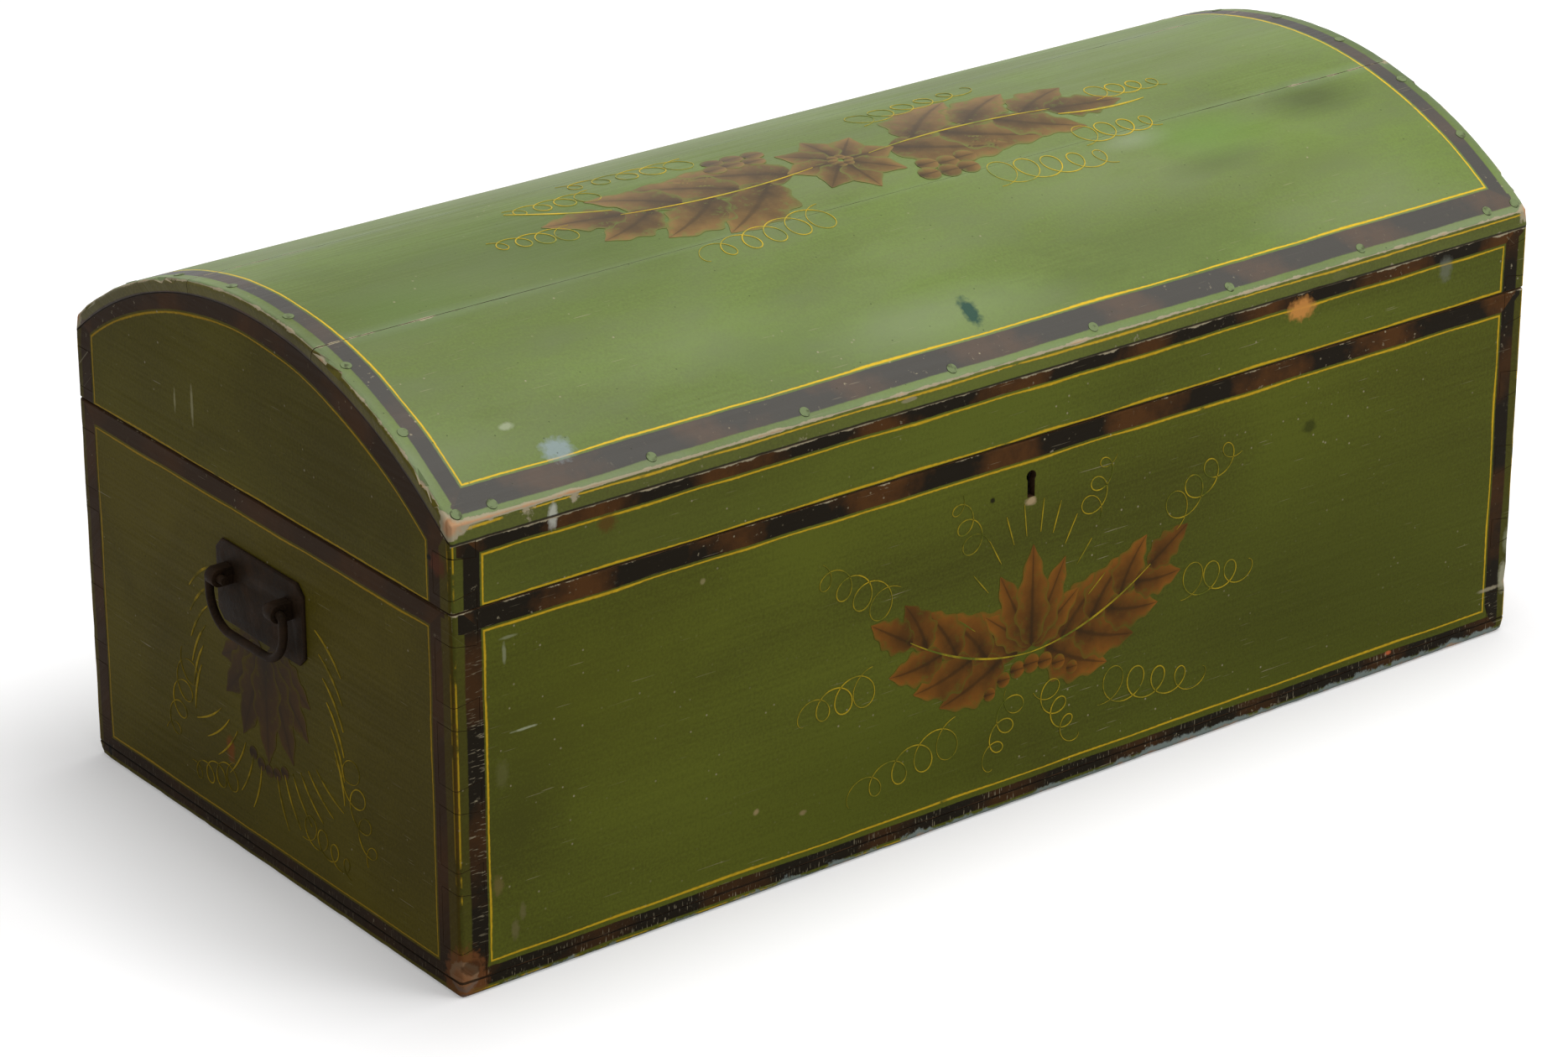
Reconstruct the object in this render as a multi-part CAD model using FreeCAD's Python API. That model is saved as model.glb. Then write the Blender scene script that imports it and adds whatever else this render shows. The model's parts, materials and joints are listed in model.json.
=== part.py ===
"""Dome-top box of painted pine: dovetailed case, arched lid, iron hinges, lock and bail handles.

Millimetres. The origin is on the floor under the middle of the box, +Z up, the front faces -Y
and the long side runs along X.
"""
import math
import os

import FreeCAD, Part

V = FreeCAD.Vector

# Whole box
box_length = 762.0
box_depth = 371.0
seam_height = 222.0
dome_edge_height = 271.0
dome_top_height = 336.0

# Boards
wall = 16.0
bottom_thickness = 9.0
dome_thickness = 8.0
dome_joint_offset = 62.0
seam_gap = 0.8

# Rounded edges
corner_round = 3.0
arris_round = 1.0
foot_round = 3.0

# Dovetails: a tail widens by its slope times the board it passes through
tail_slope = 1.0 / 6.0
case_tail_count = 4
case_end_pin = 20.0
case_pin = 18.0
lid_tail_count = 1
lid_end_pin = 10.0

# Nails
nail_clearance = 0.05
dome_nail_radius = 1.2
dome_nail_length = 16.0
dome_nail_head_radius = 3.0
dome_nail_head_thickness = 1.0
dome_nail_proud = 0.3
dome_nail_edge = 5.0
dome_nail_corner = 30.0
dome_nails_per_rail = 8
dome_nails_per_end = 8
bottom_nail_radius = 1.4
bottom_nail_length = 38.0
bottom_nail_head_radius = 3.2
bottom_nail_head_thickness = 1.2
bottom_nail_sink = 0.3
bottom_nail_corner = 40.0
bottom_nails_per_side = 7
bottom_nails_per_end = 3

# Hinges
hinge_offset = 215.0
hinge_length = 50.0
hinge_setback = 1.0
leaf_depth = 13.0
leaf_thickness = 1.6
knuckle_count = 5
knuckle_gap = 0.2
barrel_radius = 3.4
barrel_clearance = 0.4
hinge_pin_radius = 1.6
hinge_pin_clearance = 0.06

# Countersunk wood screws
screw_radius = 1.3
screw_head_radius = 2.6
screw_head_depth = 1.4
screw_length = 12.0
screw_slot_width = 0.7
screw_slot_depth = 0.5
hinge_screws_per_leaf = 3
hinge_screw_margin = 7.0

# Keyhole
key_offset = 3.5
key_drop = 22.5
key_reach = 12.5
keyhole_radius = 3.4
keyhole_slot = 5.2

# Lock
lock_plate_thickness = 1.6
lock_plate_half_width = 40.0
lock_plate_margin = 6.0
lock_works_depth = 8.5
lock_cap_wall = 0.9
lock_cap_half_width = 32.0
lock_cap_below_key = 5.0
lock_recess_clearance = 0.5
lock_screw_margin = 3.6
selvage_lap = 1.0
bolt_thickness = 2.6
bolt_length = 36.0
bolt_height = 7.0
bolt_travel = 9.0
bolt_backoff = 2.0
tongue_height = 4.5
tongue_length = 7.5
talon_depth = 3.0
talon_width = 6.0
talon_horn = 3.0
stump_radius = 1.8
stump_offset = 14.0
stump_clearance = 0.08
key_pin_radius = 1.6
spring_span = 22.0
spring_thickness = 0.7
spring_clearance = 0.2

# Link plate and its staple
staple_offset = 10.5
staple_thickness = 3.0
staple_leg = 1.4
staple_foot = 2.0
staple_clearance = 0.5
staple_slot_clearance = 0.8
link_half_length = 24.0
link_half_depth = 5.2
link_thickness = 1.6
link_screw_offset = 17.0

# Handles
handle_plate_width = 87.0
handle_plate_height = 48.5
handle_plate_thickness = 2.0
handle_plate_clip = 6.0
handle_plate_bevel = 0.8
handle_shift = -2.2
handle_height = 164.2
eye_spacing = 59.0
eye_width = 8.0
eye_rise = 7.0
eye_standoff = 8.5
eye_radius = 5.2
eye_shank_radius = 2.4
eye_shank_clearance = 0.05
clench_radius = 4.5
clench_thickness = 1.5
bail_radius = 2.5
bail_clearance = 0.06
bail_span = 74.0
bail_drop = 30.0
bail_stub = 5.0
bail_elbow = 3.2
bail_curve = 20.0

# Worked out from the sizes above
half_length = box_length / 2
half_depth = box_depth / 2
inner_x = half_length - wall
inner_y = half_depth - wall
case_top = seam_height - seam_gap / 2
lid_bottom = seam_height + seam_gap / 2
dome_rise = dome_top_height - dome_edge_height
dome_radius = (half_depth ** 2 + dome_rise ** 2) / (2 * dome_rise)
dome_centre = dome_top_height - dome_radius
dome_inner_radius = dome_radius - dome_thickness
rail_top = dome_centre + math.sqrt(dome_inner_radius ** 2 - half_depth ** 2)
pivot_y = half_depth + hinge_setback

# Lock levels and depths
key_height = seam_height - key_drop
front_inner = -inner_y
plate_front = front_inner - lock_plate_thickness
cap_inner = plate_front - lock_works_depth
cap_outer = cap_inner - lock_cap_wall
recess_front = cap_outer - lock_recess_clearance
works_middle = (plate_front + cap_inner) / 2
selvage_under = case_top - lock_plate_thickness
cap_bottom = key_height - key_reach - lock_cap_below_key
plate_bottom = cap_bottom - lock_plate_margin
bolt_bottom = key_height + key_reach - talon_depth
bolt_top = bolt_bottom + bolt_height
bolt_middle = (bolt_bottom + bolt_top) / 2
tongue_bottom = bolt_top - tongue_height
staple_x = key_offset + staple_offset
bolt_tip = staple_x - staple_thickness / 2 - bolt_backoff
bolt_shoulder = bolt_tip - tongue_length
eye_half_depth = bolt_thickness / 2 + staple_clearance
staple_half_depth = eye_half_depth + staple_leg
staple_bottom = tongue_bottom - staple_clearance - staple_foot

# Handle places on the left end
plate_face = -half_length - handle_plate_thickness
bail_x = plate_face - eye_standoff
bail_z = handle_height + eye_rise

X_AXIS = V(1, 0, 0)
Y_AXIS = V(0, 1, 0)
Z_AXIS = V(0, 0, 1)
NEARLY_NOUGHT = 1e-6


def block(x0, x1, y0, y1, z0, z1):
    return Part.makeBox(x1 - x0, y1 - y0, z1 - z0, V(x0, y0, z0))


def rod(radius, length, start, direction):
    return Part.makeCylinder(radius, length, start, direction)


def prism(points, direction):
    return Part.Face(Part.makePolygon(points + points[:1])).extrude(direction)


def fused(shapes):
    return shapes[0].fuse(shapes[1:]).removeSplitter()


def cut_all(shape, tools):
    return shape.cut(tools) if tools else shape


def evenly(low, high, count):
    step = (high - low) / (count - 1)
    return [low + step * index for index in range(count)]


def mirrored(shape):
    return shape.mirror(V(0, 0, 0), X_AXIS)


def level_edges(shape, height):
    def is_level(box):
        return max(abs(box.ZMin - height), abs(box.ZMax - height)) < NEARLY_NOUGHT

    return [edge for edge in shape.Edges if is_level(edge.BoundBox)]


def upright_edges(shape):
    def is_upright(box):
        return max(box.XLength, box.YLength) < NEARLY_NOUGHT

    return [edge for edge in shape.Edges if is_upright(edge.BoundBox)]


# Outer forms that every board is trimmed to, so that the arrises run on from board to board
def slab_form(low, high, low_round, high_round):
    slab = block(-half_length, half_length, -half_depth, half_depth, low, high)
    slab = slab.makeFillet(corner_round, upright_edges(slab))
    slab = slab.makeFillet(high_round, level_edges(slab, high))
    return slab.makeFillet(low_round, level_edges(slab, low))


def lid_form():
    front_low = V(-half_length, -half_depth, lid_bottom)
    front_high = V(-half_length, -half_depth, dome_edge_height)
    apex = V(-half_length, 0, dome_top_height)
    back_high = V(-half_length, half_depth, dome_edge_height)
    back_low = V(-half_length, half_depth, lid_bottom)
    outline = Part.Wire([
        Part.LineSegment(front_low, front_high).toShape(),
        Part.Arc(front_high, apex, back_high).toShape(),
        Part.LineSegment(back_high, back_low).toShape(),
        Part.LineSegment(back_low, front_low).toShape(),
    ])
    lid = Part.Face(outline).extrude(V(box_length, 0, 0))
    upper = [edge for edge in lid.Edges if edge.BoundBox.ZMax > lid_bottom + NEARLY_NOUGHT]
    lid = lid.makeFillet(corner_round, upper)
    return lid.makeFillet(arris_round, level_edges(lid, lid_bottom))


def dome_inside():
    return rod(dome_inner_radius, box_length, V(-half_length, 0, dome_centre), X_AXIS)


# Dovetails
def tail_levels(low, high, count, end_pin, pin):
    width = (high - low - 2 * end_pin - (count - 1) * pin) / count
    starts = [low + end_pin + index * (width + pin) for index in range(count)]
    return [(start, start + width) for start in starts]


def corner_tails(levels, side_x, side_y):
    flare = tail_slope * wall
    inner = side_x * inner_x
    outer = side_x * half_length
    face = side_y * half_depth
    through = V(0, -side_y * wall, 0)
    tails = []
    for low, high in levels:
        under = [V(inner, face, low), V(outer, face, low - flare)]
        over = [V(outer, face, high + flare), V(inner, face, high)]
        tails.append(prism(under + over, through))
    return tails


case_levels = tail_levels(bottom_thickness, case_top, case_tail_count, case_end_pin, case_pin)
lid_levels = tail_levels(lid_bottom, rail_top, lid_tail_count, lid_end_pin, lid_end_pin)


def long_board(low, high, levels, side_y):
    face = side_y * half_depth
    back = side_y * inner_y
    board = block(-inner_x, inner_x, min(face, back), max(face, back), low, high)
    return fused([board] + corner_tails(levels, -1, side_y) + corner_tails(levels, 1, side_y))


def end_board(low, high, levels, side_x):
    face = side_x * half_length
    back = side_x * inner_x
    board = block(min(face, back), max(face, back), -half_depth, half_depth, low, high)
    return cut_all(board, corner_tails(levels, side_x, -1) + corner_tails(levels, side_x, 1))


# Fasteners: a clearance above nought gives the hole that the fastener goes into
def nail(point, direction, radius, length, head_radius, head_thickness, clearance=0.0):
    shank = rod(radius + clearance, length, point, direction)
    head = rod(head_radius + clearance, head_thickness, point, direction)
    return fused([shank, head])


def dome_nails(clearance=0.0):
    nails = []
    top = dome_radius + dome_nail_proud
    edge_angle = math.asin((half_depth - dome_nail_edge) / dome_radius)
    places = []
    reach = half_length - dome_nail_corner
    for x in evenly(-reach, reach, dome_nails_per_rail):
        places.append((x, -edge_angle))
        places.append((x, edge_angle))
    for angle in evenly(-edge_angle, edge_angle, dome_nails_per_end):
        places.append((-half_length + wall / 2, angle))
        places.append((half_length - wall / 2, angle))
    head = dome_nail_head_thickness + dome_nail_proud
    sizes = (dome_nail_radius, dome_nail_length, dome_nail_head_radius, head)
    for x, angle in places:
        outward = V(0, math.sin(angle), math.cos(angle))
        point = V(x, 0, dome_centre) + outward * top
        nails.append(nail(point, outward * -1, *sizes, clearance))
    return nails


def bottom_nails(clearance=0.0):
    reach_x = half_length - bottom_nail_corner
    reach_y = half_depth - 2 * bottom_nail_corner
    row_x = evenly(-reach_x, reach_x, bottom_nails_per_side)
    row_y = evenly(-reach_y, reach_y, bottom_nails_per_end)
    places = [(x, side * (half_depth - wall / 2)) for x in row_x for side in (-1, 1)]
    places += [(side * (half_length - wall / 2), y) for y in row_y for side in (-1, 1)]
    low = 0.0 if clearance else bottom_nail_sink
    head = bottom_nail_head_thickness + bottom_nail_sink - low
    length = bottom_nail_length + bottom_nail_sink - low
    sizes = (bottom_nail_radius, length, bottom_nail_head_radius, head)
    return [nail(V(x, y, low), Z_AXIS, *sizes, clearance) for x, y in places]


def screw(point, direction, clearance=0.0):
    shank_radius = screw_radius + clearance
    head = Part.makeCone(screw_head_radius + clearance, shank_radius, screw_head_depth, point, direction)
    body = fused([head, rod(shank_radius, screw_length, point, direction)])
    if clearance:
        return body
    across = V(direction.z, direction.x, direction.y)
    sideways = direction.cross(across)
    corner = point - across * screw_head_radius - sideways * (screw_slot_width / 2)
    floor = Part.Face(Part.makePolygon([
        corner,
        corner + across * (2 * screw_head_radius),
        corner + across * (2 * screw_head_radius) + sideways * screw_slot_width,
        corner + sideways * screw_slot_width,
        corner,
    ]))
    return body.cut(floor.extrude(direction * screw_slot_depth))


# Hinges
def hinge_screws(side_z, clearance=0.0):
    face = case_top if side_z < 0 else lid_bottom
    reach = hinge_length / 2 - hinge_screw_margin
    screw_y = half_depth - leaf_depth / 2 - hinge_setback
    screws = []
    for middle in (-hinge_offset, hinge_offset):
        for x in evenly(middle - reach, middle + reach, hinge_screws_per_leaf):
            screws.append(screw(V(x, screw_y, face), V(0, 0, side_z), clearance))
    return screws


def knuckle_spans(middle):
    pitch = hinge_length / knuckle_count
    start = middle - hinge_length / 2
    return [(start + index * pitch, start + (index + 1) * pitch) for index in range(knuckle_count)]


def barrel(radius, span, gap):
    low, high = span
    return rod(radius, high - low - 2 * gap, V(low + gap, pivot_y, seam_height), X_AXIS)


def leaf_plate(middle, side_z):
    face = case_top if side_z < 0 else lid_bottom
    deep = face + side_z * leaf_thickness
    return block(middle - hinge_length / 2, middle + hinge_length / 2,
                 half_depth - leaf_depth, pivot_y, min(face, deep), max(face, deep))


def hinge_leaf(middle, side_z):
    spans = knuckle_spans(middle)
    own = spans[0::2] if side_z < 0 else spans[1::2]
    other = spans[1::2] if side_z < 0 else spans[0::2]
    room = [barrel(barrel_radius + barrel_clearance, span, 0) for span in other]
    plate = cut_all(leaf_plate(middle, side_z), room)
    leaf = fused([plate] + [barrel(barrel_radius, span, knuckle_gap / 2) for span in own])
    bore = 0.0 if side_z < 0 else hinge_pin_clearance
    whole = (middle - hinge_length / 2, middle + hinge_length / 2)
    return cut_all(leaf, [barrel(hinge_pin_radius + bore, whole, 0)] + hinge_screws(side_z, nail_clearance))


def hinge_pin(middle):
    return barrel(hinge_pin_radius, (middle - hinge_length / 2, middle + hinge_length / 2), 0)


def hinge_mortises(side_z):
    tools = []
    for middle in (-hinge_offset, hinge_offset):
        tools.append(leaf_plate(middle, side_z))
        span = (middle - hinge_length / 2, middle + hinge_length / 2)
        tools.append(barrel(barrel_radius + barrel_clearance, span, -barrel_clearance))
    return tools + hinge_screws(side_z, nail_clearance)


# Lock
def keyhole(front, back):
    depth = back - front
    eye = rod(keyhole_radius, depth, V(key_offset, front, key_height), Y_AXIS)
    slot = block(key_offset - keyhole_slot / 2, key_offset + keyhole_slot / 2,
                 front, back, key_height - key_reach, key_height)
    return fused([eye, slot])


def lock_screws(clearance=0.0):
    screws = []
    for side in (-1, 1):
        x = key_offset + side * (lock_plate_half_width - lock_screw_margin)
        for z in (plate_bottom + lock_plate_margin, selvage_under - lock_plate_margin):
            screws.append(screw(V(x, front_inner, z), V(0, -1, 0), clearance))
    return screws


def lock_plate():
    low_x = key_offset - lock_plate_half_width
    high_x = key_offset + lock_plate_half_width
    plate = block(low_x, high_x, plate_front, front_inner, plate_bottom, case_top)
    selvage = block(low_x, high_x, cap_outer - selvage_lap, front_inner, selvage_under, case_top)
    half_x = staple_thickness / 2 + staple_slot_clearance
    half_y = staple_half_depth + staple_slot_clearance
    slot = block(staple_x - half_x, staple_x + half_x, works_middle - half_y, works_middle + half_y,
                 selvage_under, case_top)
    return cut_all(fused([plate, selvage]), [slot] + lock_screws(nail_clearance))


def lock_mortise():
    low_x = key_offset - lock_plate_half_width
    high_x = key_offset + lock_plate_half_width
    half = lock_cap_half_width + lock_recess_clearance
    return [
        block(low_x, high_x, plate_front, front_inner, plate_bottom, case_top),
        block(low_x, high_x, cap_outer - selvage_lap, front_inner, selvage_under, case_top),
        block(key_offset - half, key_offset + half, recess_front, plate_front,
              cap_bottom - lock_recess_clearance, case_top),
        keyhole(-half_depth, recess_front),
    ] + lock_screws(nail_clearance)


def lock_cap():
    low_x = key_offset - lock_cap_half_width
    high_x = key_offset + lock_cap_half_width
    outside = block(low_x, high_x, cap_outer, plate_front, cap_bottom, selvage_under)
    inside = block(low_x + lock_cap_wall, high_x - lock_cap_wall, cap_inner, plate_front,
                   cap_bottom + lock_cap_wall, selvage_under)
    return cut_all(outside, [inside, keyhole(cap_outer, cap_inner)])


def lock_bolt():
    low_y = works_middle - bolt_thickness / 2
    high_y = works_middle + bolt_thickness / 2
    body = block(bolt_tip - bolt_length, bolt_shoulder, low_y, high_y, bolt_bottom, bolt_top)
    tongue = block(bolt_shoulder, bolt_tip, low_y, high_y, tongue_bottom, bolt_top)
    talon_end = bolt_shoulder - talon_horn
    talon = block(talon_end - talon_width, talon_end, low_y, high_y, bolt_bottom, bolt_bottom + talon_depth)
    slot_radius = stump_radius + stump_clearance
    stump_x = key_offset - stump_offset
    run_x = stump_x - bolt_travel
    run = block(run_x, stump_x, low_y, high_y, bolt_middle - slot_radius, bolt_middle + slot_radius)
    ends = [rod(slot_radius, bolt_thickness, V(x, low_y, bolt_middle), Y_AXIS) for x in (run_x, stump_x)]
    return cut_all(fused([body, tongue]), [talon, fused([run] + ends)])


def lock_pins():
    stump_start = V(key_offset - stump_offset, cap_inner, bolt_middle)
    key_pin_start = V(key_offset, cap_outer, key_height)
    stump = rod(stump_radius, lock_works_depth, stump_start, Y_AXIS)
    key_pin = rod(key_pin_radius, lock_works_depth + lock_cap_wall, key_pin_start, Y_AXIS)
    return [stump, key_pin]


def lock_spring():
    middle = key_offset - stump_offset
    low = bolt_top + spring_clearance
    high = selvage_under - spring_clearance
    left = middle - spring_span / 2
    right = middle + spring_span / 2
    y = works_middle - bolt_thickness / 2
    thick = spring_thickness
    under = Part.Arc(V(left, y, high - thick), V(middle, y, low), V(right, y, high - thick)).toShape()
    over = Part.Arc(V(left, y, high), V(middle, y, low + thick), V(right, y, high)).toShape()
    ends = [Part.LineSegment(V(x, y, high - thick), V(x, y, high)).toShape() for x in (left, right)]
    outline = Part.Wire(Part.__sortEdges__([under, ends[1], over, ends[0]]))
    return Part.Face(outline).extrude(V(0, bolt_thickness, 0))


# Link plate under the lid's front rail
def link_screws(clearance=0.0):
    places = [staple_x - link_screw_offset, staple_x + link_screw_offset]
    return [screw(V(x, works_middle, lid_bottom), Z_AXIS, clearance) for x in places]


def link_blank():
    return block(staple_x - link_half_length, staple_x + link_half_length, works_middle - link_half_depth,
                 works_middle + link_half_depth, lid_bottom, lid_bottom + link_thickness)


def link_plate():
    low_x = staple_x - staple_thickness / 2
    high_x = staple_x + staple_thickness / 2
    staple = block(low_x, high_x, works_middle - staple_half_depth, works_middle + staple_half_depth,
                   staple_bottom, lid_bottom)
    eye = block(low_x, high_x, works_middle - eye_half_depth, works_middle + eye_half_depth,
                tongue_bottom - staple_clearance, bolt_top + staple_clearance)
    return cut_all(fused([link_blank(), staple]), [eye] + link_screws(nail_clearance))


# Handle on the left end; the right one is its mirror image
def handle_plate():
    half_w = handle_plate_width / 2
    half_h = handle_plate_height / 2
    clip = handle_plate_clip
    right = [(half_w, half_h - clip), (half_w - clip, half_h)]
    left = [(-y, z) for y, z in reversed(right)]
    upper = right + left
    lower = [(-y, -z) for y, z in upper]
    corners = [V(-half_length, handle_shift + y, handle_height + z) for y, z in upper + lower]
    plate = prism(corners, V(-handle_plate_thickness, 0, 0))
    rim = [edge for edge in plate.Edges if edge.BoundBox.XMax < -half_length - handle_plate_thickness / 2]
    plate = plate.makeChamfer(handle_plate_bevel, rim)
    return cut_all(plate, eye_shanks(eye_shank_clearance))


def eye_places():
    return [handle_shift - eye_spacing / 2, handle_shift + eye_spacing / 2]


def eye_shanks(clearance=0.0):
    length = handle_plate_thickness + wall
    radius = eye_shank_radius + clearance
    return [rod(radius, length, V(plate_face, y, bail_z), X_AXIS) for y in eye_places()]


def handle_eyes():
    eyes = []
    for y, shank in zip(eye_places(), eye_shanks()):
        side = y - eye_width / 2
        knuckle = rod(eye_radius, eye_width, V(bail_x, side, bail_z), Y_AXIS)
        neck = block(bail_x, plate_face, side, side + eye_width, bail_z - eye_radius, bail_z + eye_radius)
        clench = rod(clench_radius, clench_thickness, V(-inner_x, y, bail_z), X_AXIS)
        bore = rod(bail_radius + bail_clearance, eye_width, V(bail_x, side, bail_z), Y_AXIS)
        eyes.append(fused([knuckle, neck, shank, clench]).cut(bore))
    return eyes


def bail():
    def at(y, z):
        return V(bail_x, handle_shift + y, bail_z + z)

    arm = bail_span / 2
    stub = eye_spacing / 2 - eye_width / 2 - bail_stub
    turn = 1 - math.sqrt(0.5)
    edges = []
    for side in (-1, 1):
        half = [
            Part.LineSegment(at(side * stub, 0), at(side * (arm - bail_elbow), 0)).toShape(),
            Part.Arc(at(side * (arm - bail_elbow), 0),
                     at(side * (arm - bail_elbow * turn), -bail_elbow * turn),
                     at(side * arm, -bail_elbow)).toShape(),
            Part.LineSegment(at(side * arm, -bail_elbow), at(side * arm, bail_curve - bail_drop)).toShape(),
            Part.Arc(at(side * arm, bail_curve - bail_drop),
                     at(side * (arm - bail_curve * turn), bail_curve * turn - bail_drop),
                     at(side * (arm - bail_curve), -bail_drop)).toShape(),
        ]
        edges += half
    grip = arm - bail_curve
    edges.append(Part.LineSegment(at(-grip, -bail_drop), at(grip, -bail_drop)).toShape())
    route = Part.Wire(Part.__sortEdges__(edges))
    start = at(-stub, 0)
    if (route.OrderedVertexes[0].Point - start).Length > NEARLY_NOUGHT:
        start = at(stub, 0)
    section = Part.Wire(Part.makeCircle(bail_radius, start, Y_AXIS))
    return route.makePipeShell([section], True, False)


# Boards of the case
case_form = slab_form(bottom_thickness, case_top, arris_round, arris_round)
case_nail_holes = bottom_nails(nail_clearance)


def case_board(board, cuts):
    return cut_all(board.common(case_form), cuts + case_nail_holes)


def body_front_board():
    return case_board(long_board(bottom_thickness, case_top, case_levels, -1), lock_mortise())


def body_back_board():
    return case_board(long_board(bottom_thickness, case_top, case_levels, 1), hinge_mortises(-1))


def body_left_end():
    board = end_board(bottom_thickness, case_top, case_levels, -1)
    return case_board(board, eye_shanks(eye_shank_clearance))


def body_right_end():
    holes = [mirrored(shank) for shank in eye_shanks(eye_shank_clearance)]
    return case_board(end_board(bottom_thickness, case_top, case_levels, 1), holes)


def bottom_board():
    return cut_all(slab_form(0, bottom_thickness, foot_round, arris_round), case_nail_holes)


# Boards of the lid
lid_outside = lid_form()
lid_inside = dome_inside()
lid_nail_holes = dome_nails(nail_clearance)


def lid_board(board, cuts):
    return cut_all(board.common(lid_outside).common(lid_inside), cuts + lid_nail_holes)


def lid_front_rail():
    cuts = [link_blank()] + link_screws(nail_clearance)
    return lid_board(long_board(lid_bottom, dome_top_height, lid_levels, -1), cuts)


def lid_back_rail():
    return lid_board(long_board(lid_bottom, dome_top_height, lid_levels, 1), hinge_mortises(1))


def lid_end(side_x):
    return lid_board(end_board(lid_bottom, dome_top_height, lid_levels, side_x), [])


def dome_board(low_y, high_y):
    far = 2 * dome_radius
    edges = []
    for y in (low_y, high_y):
        angle = math.asin(max(-1.0, min(1.0, y / dome_radius)))
        edges.append(V(-half_length, far * math.sin(angle), dome_centre + far * math.cos(angle)))
    wedge = prism([V(-half_length, 0, dome_centre)] + edges, V(box_length, 0, 0))
    return cut_all(lid_outside.cut(lid_inside).common(wedge), lid_nail_holes)


parts = {
    "body_front_board": body_front_board(),
    "body_back_board": body_back_board(),
    "body_left_end": body_left_end(),
    "body_right_end": body_right_end(),
    "bottom_board": bottom_board(),
    "bottom_nails": Part.Compound(bottom_nails()),
    "lid_front_rail": lid_front_rail(),
    "lid_back_rail": lid_back_rail(),
    "lid_left_end": lid_end(-1),
    "lid_right_end": lid_end(1),
    "dome_front_board": dome_board(-dome_radius, -dome_joint_offset),
    "dome_middle_board": dome_board(-dome_joint_offset, dome_joint_offset),
    "dome_back_board": dome_board(dome_joint_offset, dome_radius),
    "dome_nails": Part.Compound(dome_nails()),
    "hinge_case_screws": Part.Compound(hinge_screws(-1)),
    "hinge_lid_screws": Part.Compound(hinge_screws(1)),
    "lock_plate": lock_plate(),
    "lock_cap": lock_cap(),
    "lock_bolt": lock_bolt(),
    "lock_pins": Part.Compound(lock_pins()),
    "lock_spring": lock_spring(),
    "lock_screws": Part.Compound(lock_screws()),
    "link_plate": link_plate(),
    "link_screws": Part.Compound(link_screws()),
}
for side, middle in (("left", -hinge_offset), ("right", hinge_offset)):
    parts[side + "_hinge_case_leaf"] = hinge_leaf(middle, -1)
    parts[side + "_hinge_lid_leaf"] = hinge_leaf(middle, 1)
    parts[side + "_hinge_pin"] = hinge_pin(middle)
handle = {"handle_plate": handle_plate(), "handle_eyes": Part.Compound(handle_eyes()), "bail": bail()}
for name, shape in handle.items():
    parts["left_" + name] = shape
    parts["right_" + name] = mirrored(shape)

os.makedirs("parts", exist_ok=True)
for name, shape in parts.items():
    print(name, "solids", len(shape.Solids), "valid", shape.isValid(), "volume", round(shape.Volume, 1))
    shape.exportStep("parts/" + name + ".step")
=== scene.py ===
"""Looks of a dome-top box: brushed paint on pine boards, painted ornament, iron fittings and the stage.

Sizes in the code are millimetres unless a name says metres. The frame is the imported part's: origin on
the floor under the middle of the box, +Z up, the front faces -Y.
"""
import json
import math
from functools import partial

import bpy
import numpy as np
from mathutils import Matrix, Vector, noise

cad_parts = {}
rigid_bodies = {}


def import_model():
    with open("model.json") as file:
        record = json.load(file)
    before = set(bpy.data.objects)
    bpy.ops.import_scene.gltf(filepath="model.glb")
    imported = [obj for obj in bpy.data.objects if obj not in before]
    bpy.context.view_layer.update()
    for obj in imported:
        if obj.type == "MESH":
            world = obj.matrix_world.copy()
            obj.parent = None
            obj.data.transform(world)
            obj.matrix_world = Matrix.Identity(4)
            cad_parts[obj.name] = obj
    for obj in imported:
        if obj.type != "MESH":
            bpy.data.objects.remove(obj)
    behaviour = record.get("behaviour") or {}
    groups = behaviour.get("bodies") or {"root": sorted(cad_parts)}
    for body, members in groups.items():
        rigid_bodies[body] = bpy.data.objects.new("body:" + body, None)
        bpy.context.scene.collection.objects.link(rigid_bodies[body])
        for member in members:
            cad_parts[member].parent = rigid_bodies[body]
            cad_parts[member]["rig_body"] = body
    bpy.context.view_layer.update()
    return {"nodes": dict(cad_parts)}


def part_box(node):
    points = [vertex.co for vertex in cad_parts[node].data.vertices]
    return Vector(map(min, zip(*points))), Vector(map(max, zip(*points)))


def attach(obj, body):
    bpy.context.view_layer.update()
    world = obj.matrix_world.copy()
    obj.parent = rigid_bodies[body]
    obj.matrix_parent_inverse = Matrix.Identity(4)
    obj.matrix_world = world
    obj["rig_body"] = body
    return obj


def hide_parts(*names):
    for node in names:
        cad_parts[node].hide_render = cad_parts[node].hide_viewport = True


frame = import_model()

bl_info = {
    "name": "Dome-top box",
    "version": (1, 0, 0),
    "blender": (4, 5, 0),
    "location": "3D View > Sidebar > Dome-top box",
    "description": "Dresses the packed dome-top box: painted pine, ornament, ironwork and stage",
    "category": "Object",
}

MM = 0.001


def box_mm(node):
    """The low and the high corner of a node's box, in millimetres."""
    low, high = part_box(node)
    return low / MM, high / MM


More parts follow.
